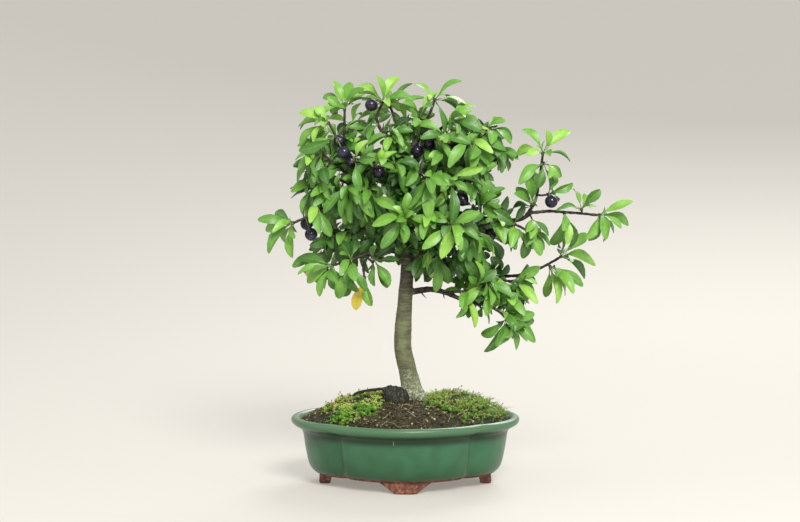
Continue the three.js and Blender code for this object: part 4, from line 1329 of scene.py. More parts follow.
@dataclass
class Tree:
    """Trunk, limbs, surface root and root stub, grown together, with thorns."""

    grain: float = 0.95
    stubs: tuple = (((-10, 93, -12), (14, 20, 13)), ((-18, 101, -8), (6.5, 6.5, 6.5)))
    thorn_length: float = 12.0
    thorn_radius: float = 1.1
    thorn_spacing: float = 22.0
    root_ways: tuple[float, ...] = (-2.5, -1.25, -0.35, 0.7, 2.0)

    def stem(self, knots: list, radii: Array | list, around: int, spacing: float) -> Shell:
        """A limb as a tube with a ring every so often."""
        points = EYE.seen(knots)
        length = lengths_of(np.diff(points, axis=0)).sum()
        share = evenly(max(4, int(length / spacing)))
        width = np.interp(share, evenly(len(radii)), radii)
        return tube(smooth_curve(points, share), width, around)

    def roots(self) -> list[Shell]:
        """Ridges that run from the trunk's foot out into the soil."""
        foot = EYE.seen([8, 104, 4])[0]
        shells = []
        for turn in self.root_ways:
            way = np.array([math.cos(turn), math.sin(turn), 0])
            falls = ((3, -4), (11, 6), (19, 13), (28, 21))
            knots = np.stack([foot + way * reach - UP * drop for reach, drop in falls])
            shells.append(tube(smooth_curve(knots, evenly(12)), np.linspace(6.0, 3.0, 12), 12))
        return shells

    def rough(self) -> Shell:
        """All the wood as overlapping closed tubes, a little fat at each joint."""
        shells = [self.stem(TRUNK[0], TRUNK[1], 40, 1.5)]
        for knots, thick, thin in [*LIMBS.values(), SURFACE_ROOT]:
            shells.append(self.stem(knots, [thick * 1.5, thick, *np.linspace(thick, thin, 6)], 16, 1.5))
        shells += [ball(EYE.seen(centre)[0], half, 24, 36) for centre, half in self.stubs]
        return joined(shells + self.roots())

    def welded(self) -> tuple[Array, Array]:
        """The tubes made one skin of small quads. Returns its corners in millimetres and its quads."""
        rough = placed("rough", drawn(self.rough(), "rough"))
        weld = rough.modifiers.new("weld", "REMESH")
        weld.mode = "VOXEL"
        weld.voxel_size = self.grain * MM
        skin = rough.evaluated_get(bpy.context.evaluated_depsgraph_get()).to_mesh()
        points = corners_of(skin)
        quads = np.empty(len(skin.loops), np.int32)
        skin.loops.foreach_get("vertex_index", quads)
        bpy.data.objects.remove(rough)
        return points, quads.reshape(-1, 4)

    @staticmethod
    def relaxed(points: Array, quads: Array, rounds: int) -> Array:
        """Each corner drawn halfway to its neighbours' mean and pushed back out, some rounds over."""
        pairs = np.vstack([quads[:, [k, (k + 1) % 4]] for k in range(4)])
        pairs = np.vstack([pairs, pairs[:, ::-1]])
        count = np.bincount(pairs[:, 0], minlength=len(points))[:, None]
        for _ in range(rounds):
            for pull in (0.5, -0.52):
                sums = [np.bincount(pairs[:, 0], column[pairs[:, 1]], len(points)) for column in points.T]
                total = np.stack(sums, 1)
                points = points + pull * (total / count - points)
        return points

    @staticmethod
    def normals(points: Array, quads: Array) -> Array:
        """The mean way that the faces round each corner look, from their diagonals' cross product."""
        a, b, c, d = (points[quads[:, k]] for k in range(4))
        faces = np.cross(c - a, d - b)
        total = np.zeros_like(points)
        for axis in range(3):
            total[:, axis] = np.bincount(quads.ravel(), np.repeat(faces[:, axis], 4), len(points))
        return unit(total)

    def bark(self) -> Shell:
        """The skin with its bark: bands across the trunk, knobs on the limbs, burrs on the stub."""
        points, quads = self.welded()
        points = self.relaxed(points, quads, 3)
        axis = smooth_curve(EYE.seen(TRUNK[0]), evenly(90))
        width = np.interp(evenly(90), evenly(len(TRUNK[1])), TRUNK[1])
        gaps = lengths_of(points[:, None] - axis[None])
        nearest = gaps.argmin(axis=1)
        trunk = smoothstep(1.7, 1.15, gaps.min(axis=1) / width[nearest])
        gaps = [lengths_of((points - EYE.seen(centre)[0]) / half) for centre, half in self.stubs]
        stub = smoothstep(1.35, 1.1, np.min(gaps, axis=0)) * (1 - trunk * 0.8)
        bands = 0.14 * relief(points, (11, 11, 2.3), 21, 3) + 0.55 * relief(points, (9, 9, 22), 23, 2)
        knobs = 0.22 * relief(points, 3.5, 25, 2)
        burrs = 1.5 * np.abs(relief(points, (3.5, 3.5, 9), 27, 3)) + 1.2 * relief(points, 7, 29, 1)
        raised = trunk * bands + (1 - trunk) * knobs + stub * burrs
        points = points + self.normals(points, quads) * raised[:, None]
        shell = Shell(points, quads, np.zeros((0, 3), int))
        return shell.marked(trunk=trunk, stub=stub)

    def thorns(self, rng: Random) -> Shell:
        """Sharp side shoots on the limbs: cones that lean along the limb, turned round it in order."""
        shells = []
        share = evenly(6)
        for knots, thick, thin in LIMBS.values():
            points = EYE.seen(knots)
            curve = smooth_curve(points, evenly(60))
            slope = unit(np.gradient(curve, axis=0))
            length = lengths_of(np.diff(curve, axis=0)).sum()
            for i in range(1, int(length / self.thorn_spacing) + 1):
                at = int(59 * (i + rng.uniform(-0.3, 0.3)) * self.thorn_spacing / length)
                at = min(max(at, 3), 57)
                side = unit(np.cross(slope[at], rng.normal(0, 1, 3)))
                way = unit(side + slope[at] * 0.45)
                reach = (thick + thin) / 2 + self.thorn_length * rng.uniform(0.2, 0.8)
                path = curve[at] + way * reach * share[:, None]
                path = path + slope[at] * reach * 0.12 * (share**2)[:, None]
                radii = self.thorn_radius * (1.15 - share) ** 0.8 * np.where(share > 0.99, 0.3, 1)
                shells.append(tube(path, radii, 6))
        return joined(shells).marked(trunk=0.0, stub=0.0)

    def build(self, bark: Material) -> None:
        """Adds the tree."""
        rng = np.random.default_rng(31)
        add_piece("blackthorn_wood", joined([self.bark(), self.thorns(rng)]), [bark], ["tree"])


# Leafy boughs


class Bough(Enum):
    """The parts of the crown; each is one piece."""

    CROWN = "crown_bough"
    LEFT = "left_bough"
    LEFT_LOW = "left_low_bough"
    FRONT = "front_bough"
    RIGHT = "right_bough"
    RIGHT_LOW = "right_low_bough"
    FAR = "far_right_bough"
    BACK_LEFT = "back_left_bough"
    BACK_RIGHT = "back_right_bough"


# Each spray: its bough, its twig's places [across, up, depth], and its leaf buds as
# (place, first clock angle, last clock angle), where the place "end" is the twig's end.
SPRAYS = {
    "crown_left": (Bough.CROWN, [[-65, 366, -12], [-68, 394, -12], [-68, 420, -12]],
        [("end", -92, 44), ([-60, 402, 6], 20, 290)]),
    "crown_top": (Bough.CROWN, [[-27, 394, -10], [-32, 410, -10], [-25, 428, -10]],
        [("end", -92, 118)]),
    "left_shoulder": (Bough.LEFT, [[-61, 356, -12], [-71, 374, -20], [-79, 391, -28], [-86, 404, -28]],
        [("end", 210, 325), ([-78, 388, -42], 170, 250)]),
    "left_fringe": (Bough.LEFT, [[-58, 343, -12], [-73, 353, -20], [-86, 364, -22], [-93, 371, -22]],
        [("end", 185, 290), ([-90, 355, -36], 170, 225)]),
    "left_middle": (Bough.LEFT, [[-72, 319, -21], [-84, 326, -8], [-95, 332, -4]],
        [("end", 170, 270), ([-86, 337, -22], 165, 215)]),
    "left_tip": (Bough.LEFT_LOW, [[-85, 313, -28], [-104, 302, -34], [-126, 292, -38]],
        [("end", 178, 300), ([-99, 311, -46], 160, 215)]),
    "left_hanging": (Bough.LEFT_LOW, [[-67, 283, 10], [-84, 271, 6], [-92, 258, 4]],
        [("end", 165, 250), ([-80, 280, 20], 160, 230)]),
    "left_low": (Bough.LEFT_LOW, [[-48, 255, -24], [-66, 249, -28], [-82, 244, -30]],
        [("end", 150, 290), ([-62, 246, -38], 150, 195)]),
    "left_lowest": (Bough.LEFT_LOW, [[-40, 258, -20], [-47, 244, -20], [-46, 230, -22]],
        [("end", 165, 200), ([-37, 248, -28], 165, 185), ([-17, 250, -20], 160, 185)]),
    "front_middle": (Bough.FRONT, [[-2, 294, -23], [-2, 296, -42], [-1, 298, -62]],
        [("end", 178, 455)]),
    "front_left": (Bough.FRONT, [[-28, 360, -36], [-42, 362, -46], [-56, 361, -56]],
        [("end", 172, 435), ([-34, 357, -54], 20, 170)]),
    "front_left_low": (Bough.FRONT, [[-44, 327, -8], [-53, 332, -28], [-60, 335, -44]],
        [("end", 145, 225), ([-40, 330, -40], 160, 200)]),
    "front_high": (Bough.FRONT, [[20, 347, -39], [34, 343, -52], [50, 340, -62]],
        [("end", 60, 240), ([24, 342, -60], 100, 215)]),
    "leader": (Bough.CROWN, [[16, 394, 0], [27, 414, -2], [33, 430, -2]],
        [("end", 58, 316), ([16, 409, -12], 185, 395)]),
    "right_top": (Bough.RIGHT, [[12, 384, 2], [28, 391, -6], [49, 404, -14]],
        [("end", 50, 150), ([34, 386, -28], 85, 250)]),
    "right_tip": (Bough.RIGHT, [[61, 386, -18], [78, 391, -18], [91, 397, -18]],
        [("end", 55, 295), ([72, 384, -34], 95, 220)]),
    "right_shoulder": (Bough.RIGHT, [[50, 380, -17], [76, 376, -4], [99, 375, -10]],
        [("end", 110, 215), ([82, 366, -18], 165, 205)]),
    "right_centre": (Bough.RIGHT, [[39, 308, -14], [48, 324, -24], [68, 340, -30]],
        [("end", 60, 200), ([40, 326, -42], 175, 215)]),
    "front_right": (Bough.FRONT, [[24, 292, -37], [38, 292, -56], [51, 289, -72]],
        [("end", 60, 235), ([24, 303, -54], 100, 200)]),
    "right_hanging": (Bough.RIGHT_LOW, [[84, 298, -24], [83, 289, -38], [75, 280, -51]],
        [("end", 110, 200), ([96, 292, -42], 130, 195), ([85, 313, -34], 50, 125)]),
    "right_inner": (Bough.FAR, [[114, 295, -29], [124, 290, -34], [136, 284, -42]],
        [("end", 112, 185)]),
    "sprig": (Bough.FAR, [[135, 299, -31], [146, 317, -30], [151, 345, -30], [154, 370, -28]],
        [("end", -80, 95), ([155, 359, -42], 120, 235), ([142, 312, -40], -45, 0),
        ([160, 324, -34], 20, 110)]),
    "right_far": (Bough.FAR, [[143, 304, -32], [165, 305, -32], [192, 303, -34], [218, 301, -36]],
        [("end", 65, 215), ([198, 307, -42], -80, 40), ([179, 302, -42], 165, 190)]),
    "low_right_tip": (Bough.FAR, [[106, 231, 12], [132, 234, 6], [156, 243, 0], [175, 254, 0]],
        [("end", 0, 120), ([163, 243, -12], 120, 185)]),
    "low_right_front": (Bough.RIGHT_LOW, [[95, 233, 15], [104, 228, -2], [121, 226, -18]],
        [("end", 60, 190), ([94, 238, -10], 150, 230)]),
    "lowest_tip": (Bough.RIGHT_LOW, [[74, 203, -30], [97, 197, -34], [115, 184, -36]],
        [("end", 70, 235), ([110, 206, -26], 85, 160)]),
    "lowest_middle": (Bough.RIGHT_LOW, [[66, 205, -28], [78, 214, -36], [91, 226, -40]],
        [("end", 120, 235), ([80, 220, -46], -30, 40)]),
    "lowest_inner": (Bough.RIGHT_LOW, [[46, 213, -20], [56, 214, -30], [67, 215, -38]],
        [("end", 165, 190)]),
    "trunk_right": (Bough.RIGHT_LOW, [[4, 247, 0], [14, 255, -14], [26, 262, -22]],
        [("end", 140, 205), ([34, 254, -32], 150, 200)]),
    "middle_low": (Bough.RIGHT_LOW, [[50, 247, 22], [55, 255, 0], [62, 262, -20]],
        [("end", 145, 215), ([70, 254, -6], 140, 200)]),
    "back_right": (Bough.BACK_RIGHT, [[24, 342, 55], [39, 349, 76], [54, 355, 96]],
        [("end", 10, 300), ([34, 338, 80], 110, 260), ([46, 362, 72], -60, 100)]),
    "back_left": (Bough.BACK_LEFT, [[-44, 359, 55], [-57, 365, 74], [-69, 371, 90]],
        [("end", 150, 420), ([-44, 352, 74], 110, 250), ([-66, 376, 64], -100, 60)]),
    "back_right_low": (Bough.BACK_RIGHT, [[21, 280, 57], [32, 283, 78], [41, 286, 98]],
        [("end", 50, 290), ([20, 274, 78], 130, 260), ([42, 292, 70], 20, 130)]),
    "back_left_low": (Bough.BACK_LEFT, [[-32, 292, 54], [-42, 294, 72], [-51, 292, 90]],
        [("end", 90, 330), ([-30, 284, 72], 120, 230), ([-54, 300, 66], 200, 340)]),
    "back_top": (Bough.BACK_LEFT, [[-8, 400, 45], [-13, 412, 54], [-17, 422, 60]],
        [("end", -120, 150), ([0, 404, 58], 60, 220)]),
    "back_far_right": (Bough.BACK_RIGHT, [[40, 375, -16], [57, 373, 14], [75, 375, 44]],
        [("end", 10, 220), ([60, 364, 30], 110, 240), ([78, 386, 22], 45, 110)]),
    "back_low_right": (Bough.BACK_RIGHT, [[74, 299, -22], [82, 290, 10], [89, 280, 44]],
        [("end", 40, 250), ([72, 288, 30], 130, 270), ([100, 292, 24], 30, 140)]),
    "back_low_left": (Bough.BACK_LEFT, [[-44, 286, 12], [-60, 279, 34], [-74, 267, 52]],
        [("end", 120, 320), ([-54, 270, 46], 120, 210), ([-76, 284, 36], 240, 340)]),
    "back_far_left": (Bough.BACK_LEFT, [[-55, 333, -10], [-72, 340, 20], [-88, 349, 46]],
        [("end", 150, 350), ([-72, 332, 40], 130, 240), ([-88, 354, 24], 220, 330)]),
}


# The sloes, as they hang among the leaves.
SLOES = [
    [-111, 291, -30], [-106, 279, -52], [-74, 384, -27], [-69, 371, -43], [-61, 361, -28], [-30, 349, -47],
    [13, 373, -15], [27, 381, -14], [64, 318, -42], [164, 316, -40], [96, 279, -34], [-38, 424, -18],
    [42, 329, 72], [-62, 348, 72],
]


# How much of the usual extra foliage the open sprays get; the others get all of it.
OPEN_SPRAYS = {
    "left_lowest": 0.0, "lowest_inner": 0.3, "sprig": 0.45, "right_far": 0.35, "low_right_tip": 0.45,
    "right_inner": 0.5, "left_tip": 0.4, "trunk_right": 0.6, "leader": 0.5, "crown_top": 0.6,
    "crown_left": 0.7, "left_low": 0.6, "left_hanging": 0.6, "right_tip": 0.7,
}


# How many short leafy spurs stand on each limb; "top" is the thin upper end of the trunk.
LIMB_TUFTS = {
    Bough.CROWN: {"top": 11, "top_left": 5},
    Bough.LEFT: {"left_riser": 11, "left_far": 3},
    Bough.LEFT_LOW: {"left_mid": 6, "left_low": 2},
    Bough.FRONT: {"front_left": 3, "front_high": 3, "front_right": 2},
    Bough.RIGHT: {"right_high": 8},
    Bough.RIGHT_LOW: {"right_long": 7, "right_mid": 6},
    Bough.BACK_LEFT: {"back_left": 4, "back_left_low": 4, "back_top": 3},
    Bough.BACK_RIGHT: {"back_right": 4, "back_right_low": 4},
}


@dataclass
class Leaves:
    """Leaves as rows of arrays: base, way and normal, and each one's length, width and tone."""

    base: Array
    way: Array
    normal: Array
    length: Array
    width: Array
    tone: Array

    NAMES = ("base", "way", "normal", "length", "width", "tone")

    @staticmethod
    def together(parts: list[Leaves]) -> Leaves:
        """All of them in one."""
        return Leaves(*(np.concatenate([getattr(part, name) for part in parts]) for name in Leaves.NAMES))

    def clear_of(self, places: list, reach: float) -> Leaves:
        """Only those that don't pass in front of places, as the eye sees them, within a reach."""
        share = np.linspace(0.15, 1, 7)[:, None]
        points = self.base[:, None] + self.way[:, None] * self.length[:, None, None] * share
        flat = EYE.flattened(points)
        kept = np.ones(len(self.base), bool)
        for across, up, depth in places:
            gap = lengths_of(flat - [across, up])
            kept &= ~((gap < reach) & (points[..., 1] < depth + 4)).any(axis=1)
        return Leaves(*(getattr(self, name)[kept] for name in Leaves.NAMES))


@dataclass
class Spray:
    """One leafy side twig with its spurs, buds and leaves."""

    name: str
    knots: list
    buds: list
    fullness: float = 1.0
    twig_thick: float = 1.9
    twig_thin: float = 1.3
    bud_radius: float = 1.9
    blade_share: float = 0.92

    def curve(self, count: int) -> Array:
        """Points along the twig."""
        return smooth_curve(EYE.seen(self.knots), evenly(count))

    def places(self) -> list[tuple[Array, Array, float, float]]:
        """Each bud's centre, the point of the wood that carries it, and its clock angles."""
        curve = self.curve(13)
        found = []
        for place, first, last in self.buds:
            centre = curve[-1] if isinstance(place, str) else EYE.seen(place)[0]
            hold = curve[-3] if isinstance(place, str) else curve[lengths_of(curve - centre).argmin()]
            found.append((centre, hold, first, last))
        return found

    def wood(self) -> list[Shell]:
        """The twig, its spurs and the knobbly bud at each end."""
        length = lengths_of(np.diff(self.curve(20), axis=0)).sum()
        rings = max(8, int(length / 2.2))
        radii = np.linspace(self.twig_thick, self.twig_thin, rings)
        radii = radii * (1 + 0.12 * np.sin(np.arange(rings) * 1.9 + len(self.name)))
        shells = [tube(self.curve(rings) + relief(self.curve(rings), 9, 41)[:, None] * 0.35, radii, 8)]
        for centre, hold, _, _ in self.places():
            share = evenly(7)[:, None]
            sag = np.array([0, 0, -0.06]) * np.linalg.norm(centre - hold) * np.sin(np.pi * share)
            shells.append(tube(hold + (centre - hold) * share + sag, np.linspace(1.35, 1.15, 7), 7))
            shells.append(ball(centre, (self.bud_radius,) * 2 + (self.bud_radius * 1.1,), 5, 8))
        return shells

    def scales(self, rng: Random) -> Shell:
        """Pale narrow stipules that stand round each bud among the leaf stalks."""
        count = 4
        places = self.places()
        ways = unit(rng.normal(0, 1, (len(places), count, 3)))
        shoots = np.array([unit(centre - hold) for centre, hold, _, _ in places])
        ways = unit(ways + shoots[:, None] * 0.5)
        bases = np.array([centre for centre, _, _, _ in places])[:, None] + ways * self.bud_radius * 0.8
        lengths = rng.uniform(3, 6.5, len(places) * count)
        flat = ways.reshape(-1, 3)
        normals = unit(np.cross(flat, rng.normal(0, 1, flat.shape)))
        shell = slivers(bases.reshape(-1, 3), flat, normals, lengths, lengths * 0.22)
        return shell.marked(tone=0.45, blade=np.tile([0.5, 0.05], (len(shell.points), 1)))

    def packed_leaves(self) -> Leaves:
        """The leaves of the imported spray, read back from its solid.

        A leaf's tip is a corner with three neighbours. The rings of three behind it are walked back
        to the bud's face that the leaf grows from, and give its way, its normal and its width.
        """
        mesh = packed_mesh(f"spray_{self.name}")
        rows = []
        for tip, near in mesh.near.items():
            if len(near) != 3:
                continue
            rings = [set(near)]
            behind = {tip} | rings[0]
            for _ in range(3):
                step = set().union(*(mesh.near[corner] for corner in rings[-1])) - behind
                rings.append(step)
                behind |= step
            if any(len(ring) != 3 for ring in rings):
                continue
            across = (mesh.points[list(ring)] for ring in rings)
            wide = [max(np.linalg.norm(p - q) for p in ring for q in ring) for ring in across]
            base, at = mesh.points[list(rings[3])].mean(axis=0), mesh.points[tip]
            length = np.linalg.norm(at - base)
            if length < 25 or wide[1] < 8:
                continue
            way = (at - base) / length
            ring = mesh.points[list(rings[1])]
            spans = lengths_of(ring[:, None] - ring[None])
            edges = ring[list(np.unravel_index(spans.argmax(), spans.shape))].mean(axis=0)
            rise = edges - base - way * length / 2
            rows.append((base, way, unit(rise - way * (rise @ way)), length, wide[1] / self.blade_share))
        base, way, normal, length, width = (np.array(column, float) for column in zip(*rows))
        share = self.size_shares(base)
        return Leaves(base, way, normal, length * share, width * np.sqrt(share), np.zeros(len(rows)))

    def size_shares(self, base: Array) -> Array:
        """How long each packed leaf is made, as a share: most are shorter, by the place they grow at."""
        return 0.86 + 0.3 * relief(base, 2.6, 83, 1)

    def more_leaves(self, packed: Leaves, extra: tuple[int, int], rng: Random) -> Leaves | None:
        """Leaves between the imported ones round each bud.

        Of many random ways in the bud's clock range, the one furthest from all leaves so far is
        taken each time. The clock is read from the front, 0 straight up and 90 to the right.
        """
        parts = []
        for order, (centre, hold, first, last) in enumerate(self.places()):
            near = lengths_of(packed.base - centre) < 4
            taken = list(packed.way[near])
            before = len(taken)
            shoot = unit(centre - hold)
            for _ in range(round((extra[1] if order else extra[0]) * self.fullness)):
                clock = np.radians(rng.uniform(first - 8, last + 8, 40))
                lean = np.radians(rng.normal(0, 38, 40).clip(-72, 72))
                level = np.cos(lean)
                ways = np.column_stack([np.sin(clock) * level, np.sin(lean), np.cos(clock) * level])
                ways = ways[ways @ shoot > -0.35]
                if not len(ways):
                    continue
                crowd = (ways @ np.array(taken).T).max(axis=1) if taken else np.zeros(len(ways))
                taken.append(ways[crowd.argmin()])
            if taken[before:]:
                rows = np.array(taken[before:])
                parts.append(grown_leaves(centre, rows, shoot, (17, 43), self.bud_radius, rng))
        return Leaves.together(parts) if parts else None

    def side_leaves(self, spacing: float, rng: Random) -> Leaves | None:
        """Small tufts straight from the twig between its buds, further apart on an open spray."""
        spacing = spacing / max(self.fullness**2, 0.05)
        curve = self.curve(40)
        slope = unit(np.gradient(curve, axis=0))
        length = lengths_of(np.diff(curve, axis=0)).sum()
        parts = []
        for i in range(int(length / spacing)):
            at = int(39 * (i + rng.uniform(0.3, 0.7)) * spacing / length)
            at = min(at, 37)
            side = unit(np.cross(slope[at], rng.normal(0, 1, 3)))
            spokes = rng.normal(0, 0.75, (4, 3)) + side + slope[at] * 0.3 - UP * 0.25
            parts.append(grown_leaves(curve[at], unit(spokes), side, (13, 33), 1.2, rng))
        return Leaves.together(parts) if parts else None


def grown_leaves(
    centre: Array, ways: Array, shoot: Array, lengths: Pair, start: float, rng: Random
) -> Leaves:
    """Leaves of one bud along given ways.

    Their upper sides look up, to the front or the back, out from the crown's middle and along the
    shoot, square to their ways.
    """
    out = unit(np.array([centre[0], centre[1], (centre[2] - 300) / 2]))
    side = np.array([0, -0.8 if centre[1] < 15 else 0.8, 0.5])
    face = side + out * 0.35 + shoot * 0.35 + rng.normal(0, 0.38, ways.shape)
    face = face - dots(face, ways) * ways
    length = rng.uniform(*lengths, len(ways))
    width = 13 * (0.5 + 0.5 * length / 39) * rng.uniform(0.8, 1.08, len(ways))
    base = centre + ways * start * 0.7
    return Leaves(base, ways, unit(face), length, width, np.zeros(len(ways)))


@dataclass
class PackedMesh:
    """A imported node's corners in millimetres, and which corners each one is joined to."""

    points: Array
    near: dict[int, set[int]]


def packed_mesh(node: str) -> PackedMesh:
    """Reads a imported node, with the corners of its loose triangles merged."""
    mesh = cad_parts[node].data
    kept, place = np.unique(np.round(corners_of(mesh), 2), axis=0, return_inverse=True)
    place = place.ravel()
    near: dict[int, set[int]] = {i: set() for i in range(len(kept))}
    for face in mesh.polygons:
        corners = [int(place[i]) for i in face.vertices]
        for corner in corners:
            near[corner] |= set(corners) - {corner}
    return PackedMesh(kept, near)


@dataclass
class LeafShape:
    """How a leaf is made: stations along it, each a ring of five points over and three under."""

    stations: tuple[float, ...] = (0.0, 0.1, 0.18, 0.28, 0.41, 0.55, 0.69, 0.83, 0.94)
    across: tuple[float, ...] = (-1.0, -0.5, 0.0, 0.5, 1.0)
    stalk_radius: float = 0.55
    thick: float = 0.34
    arch: float = 0.11

    def shell(self, leaves: Leaves, rng: Random) -> Shell:
        """All the leaves as one shell of closed blades.

        At share s of the length the leaf's middle is base + way · length · s + normal · length ·
        arch · 4 s (1 - s), less a curl that grows with the square of s past 0.5, and it sags by the
        square of s, most where the leaf is level. The blade's half width is sin(pi x^1.4)^0.75 of
        the whole, x being the share of the blade alone. Across it, the halves fold up along the
        midrib by cup · |t|^0.95 and wave, and the section is round on the stalk.
        """
        count = len(leaves.base)
        s = np.array(self.stations)
        t = np.array(self.across)
        blade = np.clip((s - 0.14) / 0.86, 0, 1)
        half = leaves.width[:, None] / 2 * np.sin(np.pi * blade**1.4).clip(0, 1) ** 0.75
        half = np.maximum(half, self.stalk_radius)
        flat = smoothstep(0.12, 0.24, s)[None, :, None]
        turn = (rng.normal(0, 0.3, (count, 1)) + rng.normal(0, 0.6, (count, 1)) * (s - 0.3))[..., None]
        side = np.cross(leaves.way, leaves.normal)
        sides = np.cos(turn) * side[:, None] + np.sin(turn) * leaves.normal[:, None]
        normals = np.cos(turn) * leaves.normal[:, None] - np.sin(turn) * side[:, None]
        curl = rng.uniform(0.0, 0.9, (count, 1)) * np.maximum(s - 0.5, 0) ** 2
        bow = self.arch * 4 * s * (1 - s) - curl
        level = np.sqrt(np.maximum(1 - leaves.way[:, 2:] ** 2, 0))
        sag = rng.uniform(0.0, 0.2, (count, 1)) * level * s**2
        middle = leaves.base[:, None] + leaves.length[:, None, None] * (
            leaves.way[:, None] * s[:, None] + leaves.normal[:, None] * bow[..., None] - UP * sag[..., None]
        )
        cup = rng.uniform(0.15, 0.7, (count, 1, 1)) * np.abs(t) ** 0.95
        phase = rng.uniform(0, 6.3, (count, 1, 2))
        waves = np.sin(9 * s[None, :, None] + phase)
        swing = np.where(t < 0, waves[..., :1], waves[..., 1:])
        rise = half[..., None] * (cup + 0.05 * swing * t**2) * flat
        dome = (1 - flat) * half[..., None] * np.sqrt(np.maximum(1 - t**2, 0))
        flush = middle[:, :, None] + (half[..., None] * t)[..., None] * sides[:, :, None]
        over = flush + (rise + dome)[..., None] * normals[:, :, None]
        under = flush + (rise - dome - flat * self.thick)[..., None] * normals[:, :, None]
        rings = np.concatenate([over, under[:, :, -2:0:-1]], axis=2)
        tip = middle[:, -1] + (leaves.length * 0.045)[:, None] * unit(middle[:, -1] - middle[:, -2])
        rows, around, top = len(s), 2 * len(t) - 2, len(t) - 1
        quads, triangles = ring_faces(rows, around)
        points = np.concatenate([rings.reshape(count, -1, 3), middle[:, :1], tip[:, None]], axis=1)
        shell = repeated(points, quads, triangles)
        sides_seen = [0] * top + [1] * top
        shell.quad_finish = np.tile(sides_seen, (rows - 1) * count)
        shell.triangle_finish = np.tile(sides_seen, 2 * count)
        u = np.tile(np.append(t, t[-2:0:-1]) / 2 + 0.5, rows)
        v = np.repeat(s, around)
        spot = np.column_stack([np.append(u, [0.5, 0.5]), np.append(v, [0.0, 1.0])])
        corners = rows * around + 2
        return shell.marked(blade=np.tile(spot, (count, 1)), tone=np.repeat(leaves.tone, corners))


@dataclass
class Foliage:
    """All leafy boughs: the sprays' twigs, their packed leaves and those between them."""

    bud_extra: tuple[int, int] = (9, 8)
    tuft_spacing: float = 11.0
    sloe_room: float = 8.5
    sloe_core: float = 6.0
    sloes_seen: int = 11
    crown_middle: tuple = (20, 0, 310)
    crown_half: tuple = (170, 80, 130)
    turned_at: tuple = (((-53, 205, -22), 1.95), ((55, 389, -30), 1.25), ((98, 392, -20), 1.3))

    def lit_and_tinted(self, leaves: Leaves, rng: Random) -> Leaves:
        """Gives each leaf its tone: painted light and shade, brighter near the crown's outside, at the top
        and where it faces up, with its own random draw.
        """
        tips = leaves.base + leaves.way * leaves.length[:, None]
        out = lengths_of((tips - self.crown_middle) / self.crown_half)
        # Painted light and shade: leaves further out from the crown's middle, facing up, or near the top are
        # brighter.
        tone = 0.17 + 0.4 * out.clip(0, 1.2) + 0.12 * leaves.normal[:, 2] + rng.normal(0, 0.15, len(out))
        tone = tone + 0.12 * smoothstep(340, 430, tips[:, 2])
        tone = tone + np.where(rng.uniform(0, 1, len(out)) < 0.06, 0.28, 0)
        leaves.tone = tone.clip(0.02, 0.98)
        for place, turned in self.turned_at:
            gaps = lengths_of(tips - EYE.seen(place)[0])
            if gaps.min() < 14:
                leaves.tone[gaps.argmin()] = turned
        return leaves

    def limb_tufts(self, bough: Bough, rng: Random) -> tuple[list[Shell], list[Leaves]]:
        """Short spurs with a tuft of small leaves, along the limbs of a bough."""
        shells, parts = [], []
        for limb, count in LIMB_TUFTS.get(bough, {}).items():
            knots, thick = (TRUNK[0][12:], 4.5) if limb == "top" else LIMBS[limb][:2]
            curve = smooth_curve(EYE.seen(knots), evenly(60))
            slope = unit(np.gradient(curve, axis=0))
            for i in range(count):
                at = int(59 * (i + rng.uniform(0.2, 0.8)) / count)
                near = np.array([0, -0.9 if curve[at, 1] < 20 else 0.9, 0.2])
                side = rng.normal(0, 0.8, 3) + near
                side = unit(side - (side @ slope[at]) * slope[at])
                end = curve[at] + side * (thick + rng.uniform(5, 13))
                path = curve[at] + (end - curve[at]) * evenly(5)[:, None]
                spur = tube(path, np.linspace(1.2, 0.9, 5), 6).marked(trunk=0.0, stub=0.0)
                shells.append(spur.finished(2))
                ways = unit(rng.normal(0, 0.75, (6, 3)) + side * 0.8 - UP * 0.35)
                parts.append(grown_leaves(end, ways, side, (15, 36), 1.2, rng))
        return shells, parts

    def build(self, bark: Material) -> None:
        """Adds every bough."""
        finishes = [LEAF_TOP.material(), LEAF_BACK.material(), bark]
        shape = LeafShape()
        seen = SLOES[: self.sloes_seen]
        total = 0
        for number, bough in enumerate(Bough):
            rng = np.random.default_rng(50 + number)
            nodes = []
            shells, tufts = self.limb_tufts(bough, rng)
            parts = [tuft.clear_of(seen, self.sloe_room) for tuft in tufts]
            for name, (owner, knots, buds) in SPRAYS.items():
                if owner is not bough:
                    continue
                spray = Spray(name, knots, buds, OPEN_SPRAYS.get(name, 1.0))
                packed = spray.packed_leaves()
                extras = [spray.more_leaves(packed, self.bud_extra, rng)]
                extras.append(spray.side_leaves(self.tuft_spacing, rng))
                parts.append(packed.clear_of(seen, self.sloe_core))
                parts += [extra.clear_of(seen, self.sloe_room) for extra in extras if extra]
                wood = joined(spray.wood()).marked(trunk=0.0, stub=0.0)
                shells += [wood.finished(2), spray.scales(rng)]
                nodes.append(f"spray_{name}")
            leaves = self.lit_and_tinted(Leaves.together(parts), rng)
            total += len(leaves.base)
            shells.append(shape.shell(leaves, rng))
            add_piece(bough.value, joined(shells), finishes, nodes)
        log.info("leaves: %d", total)


# Sloes


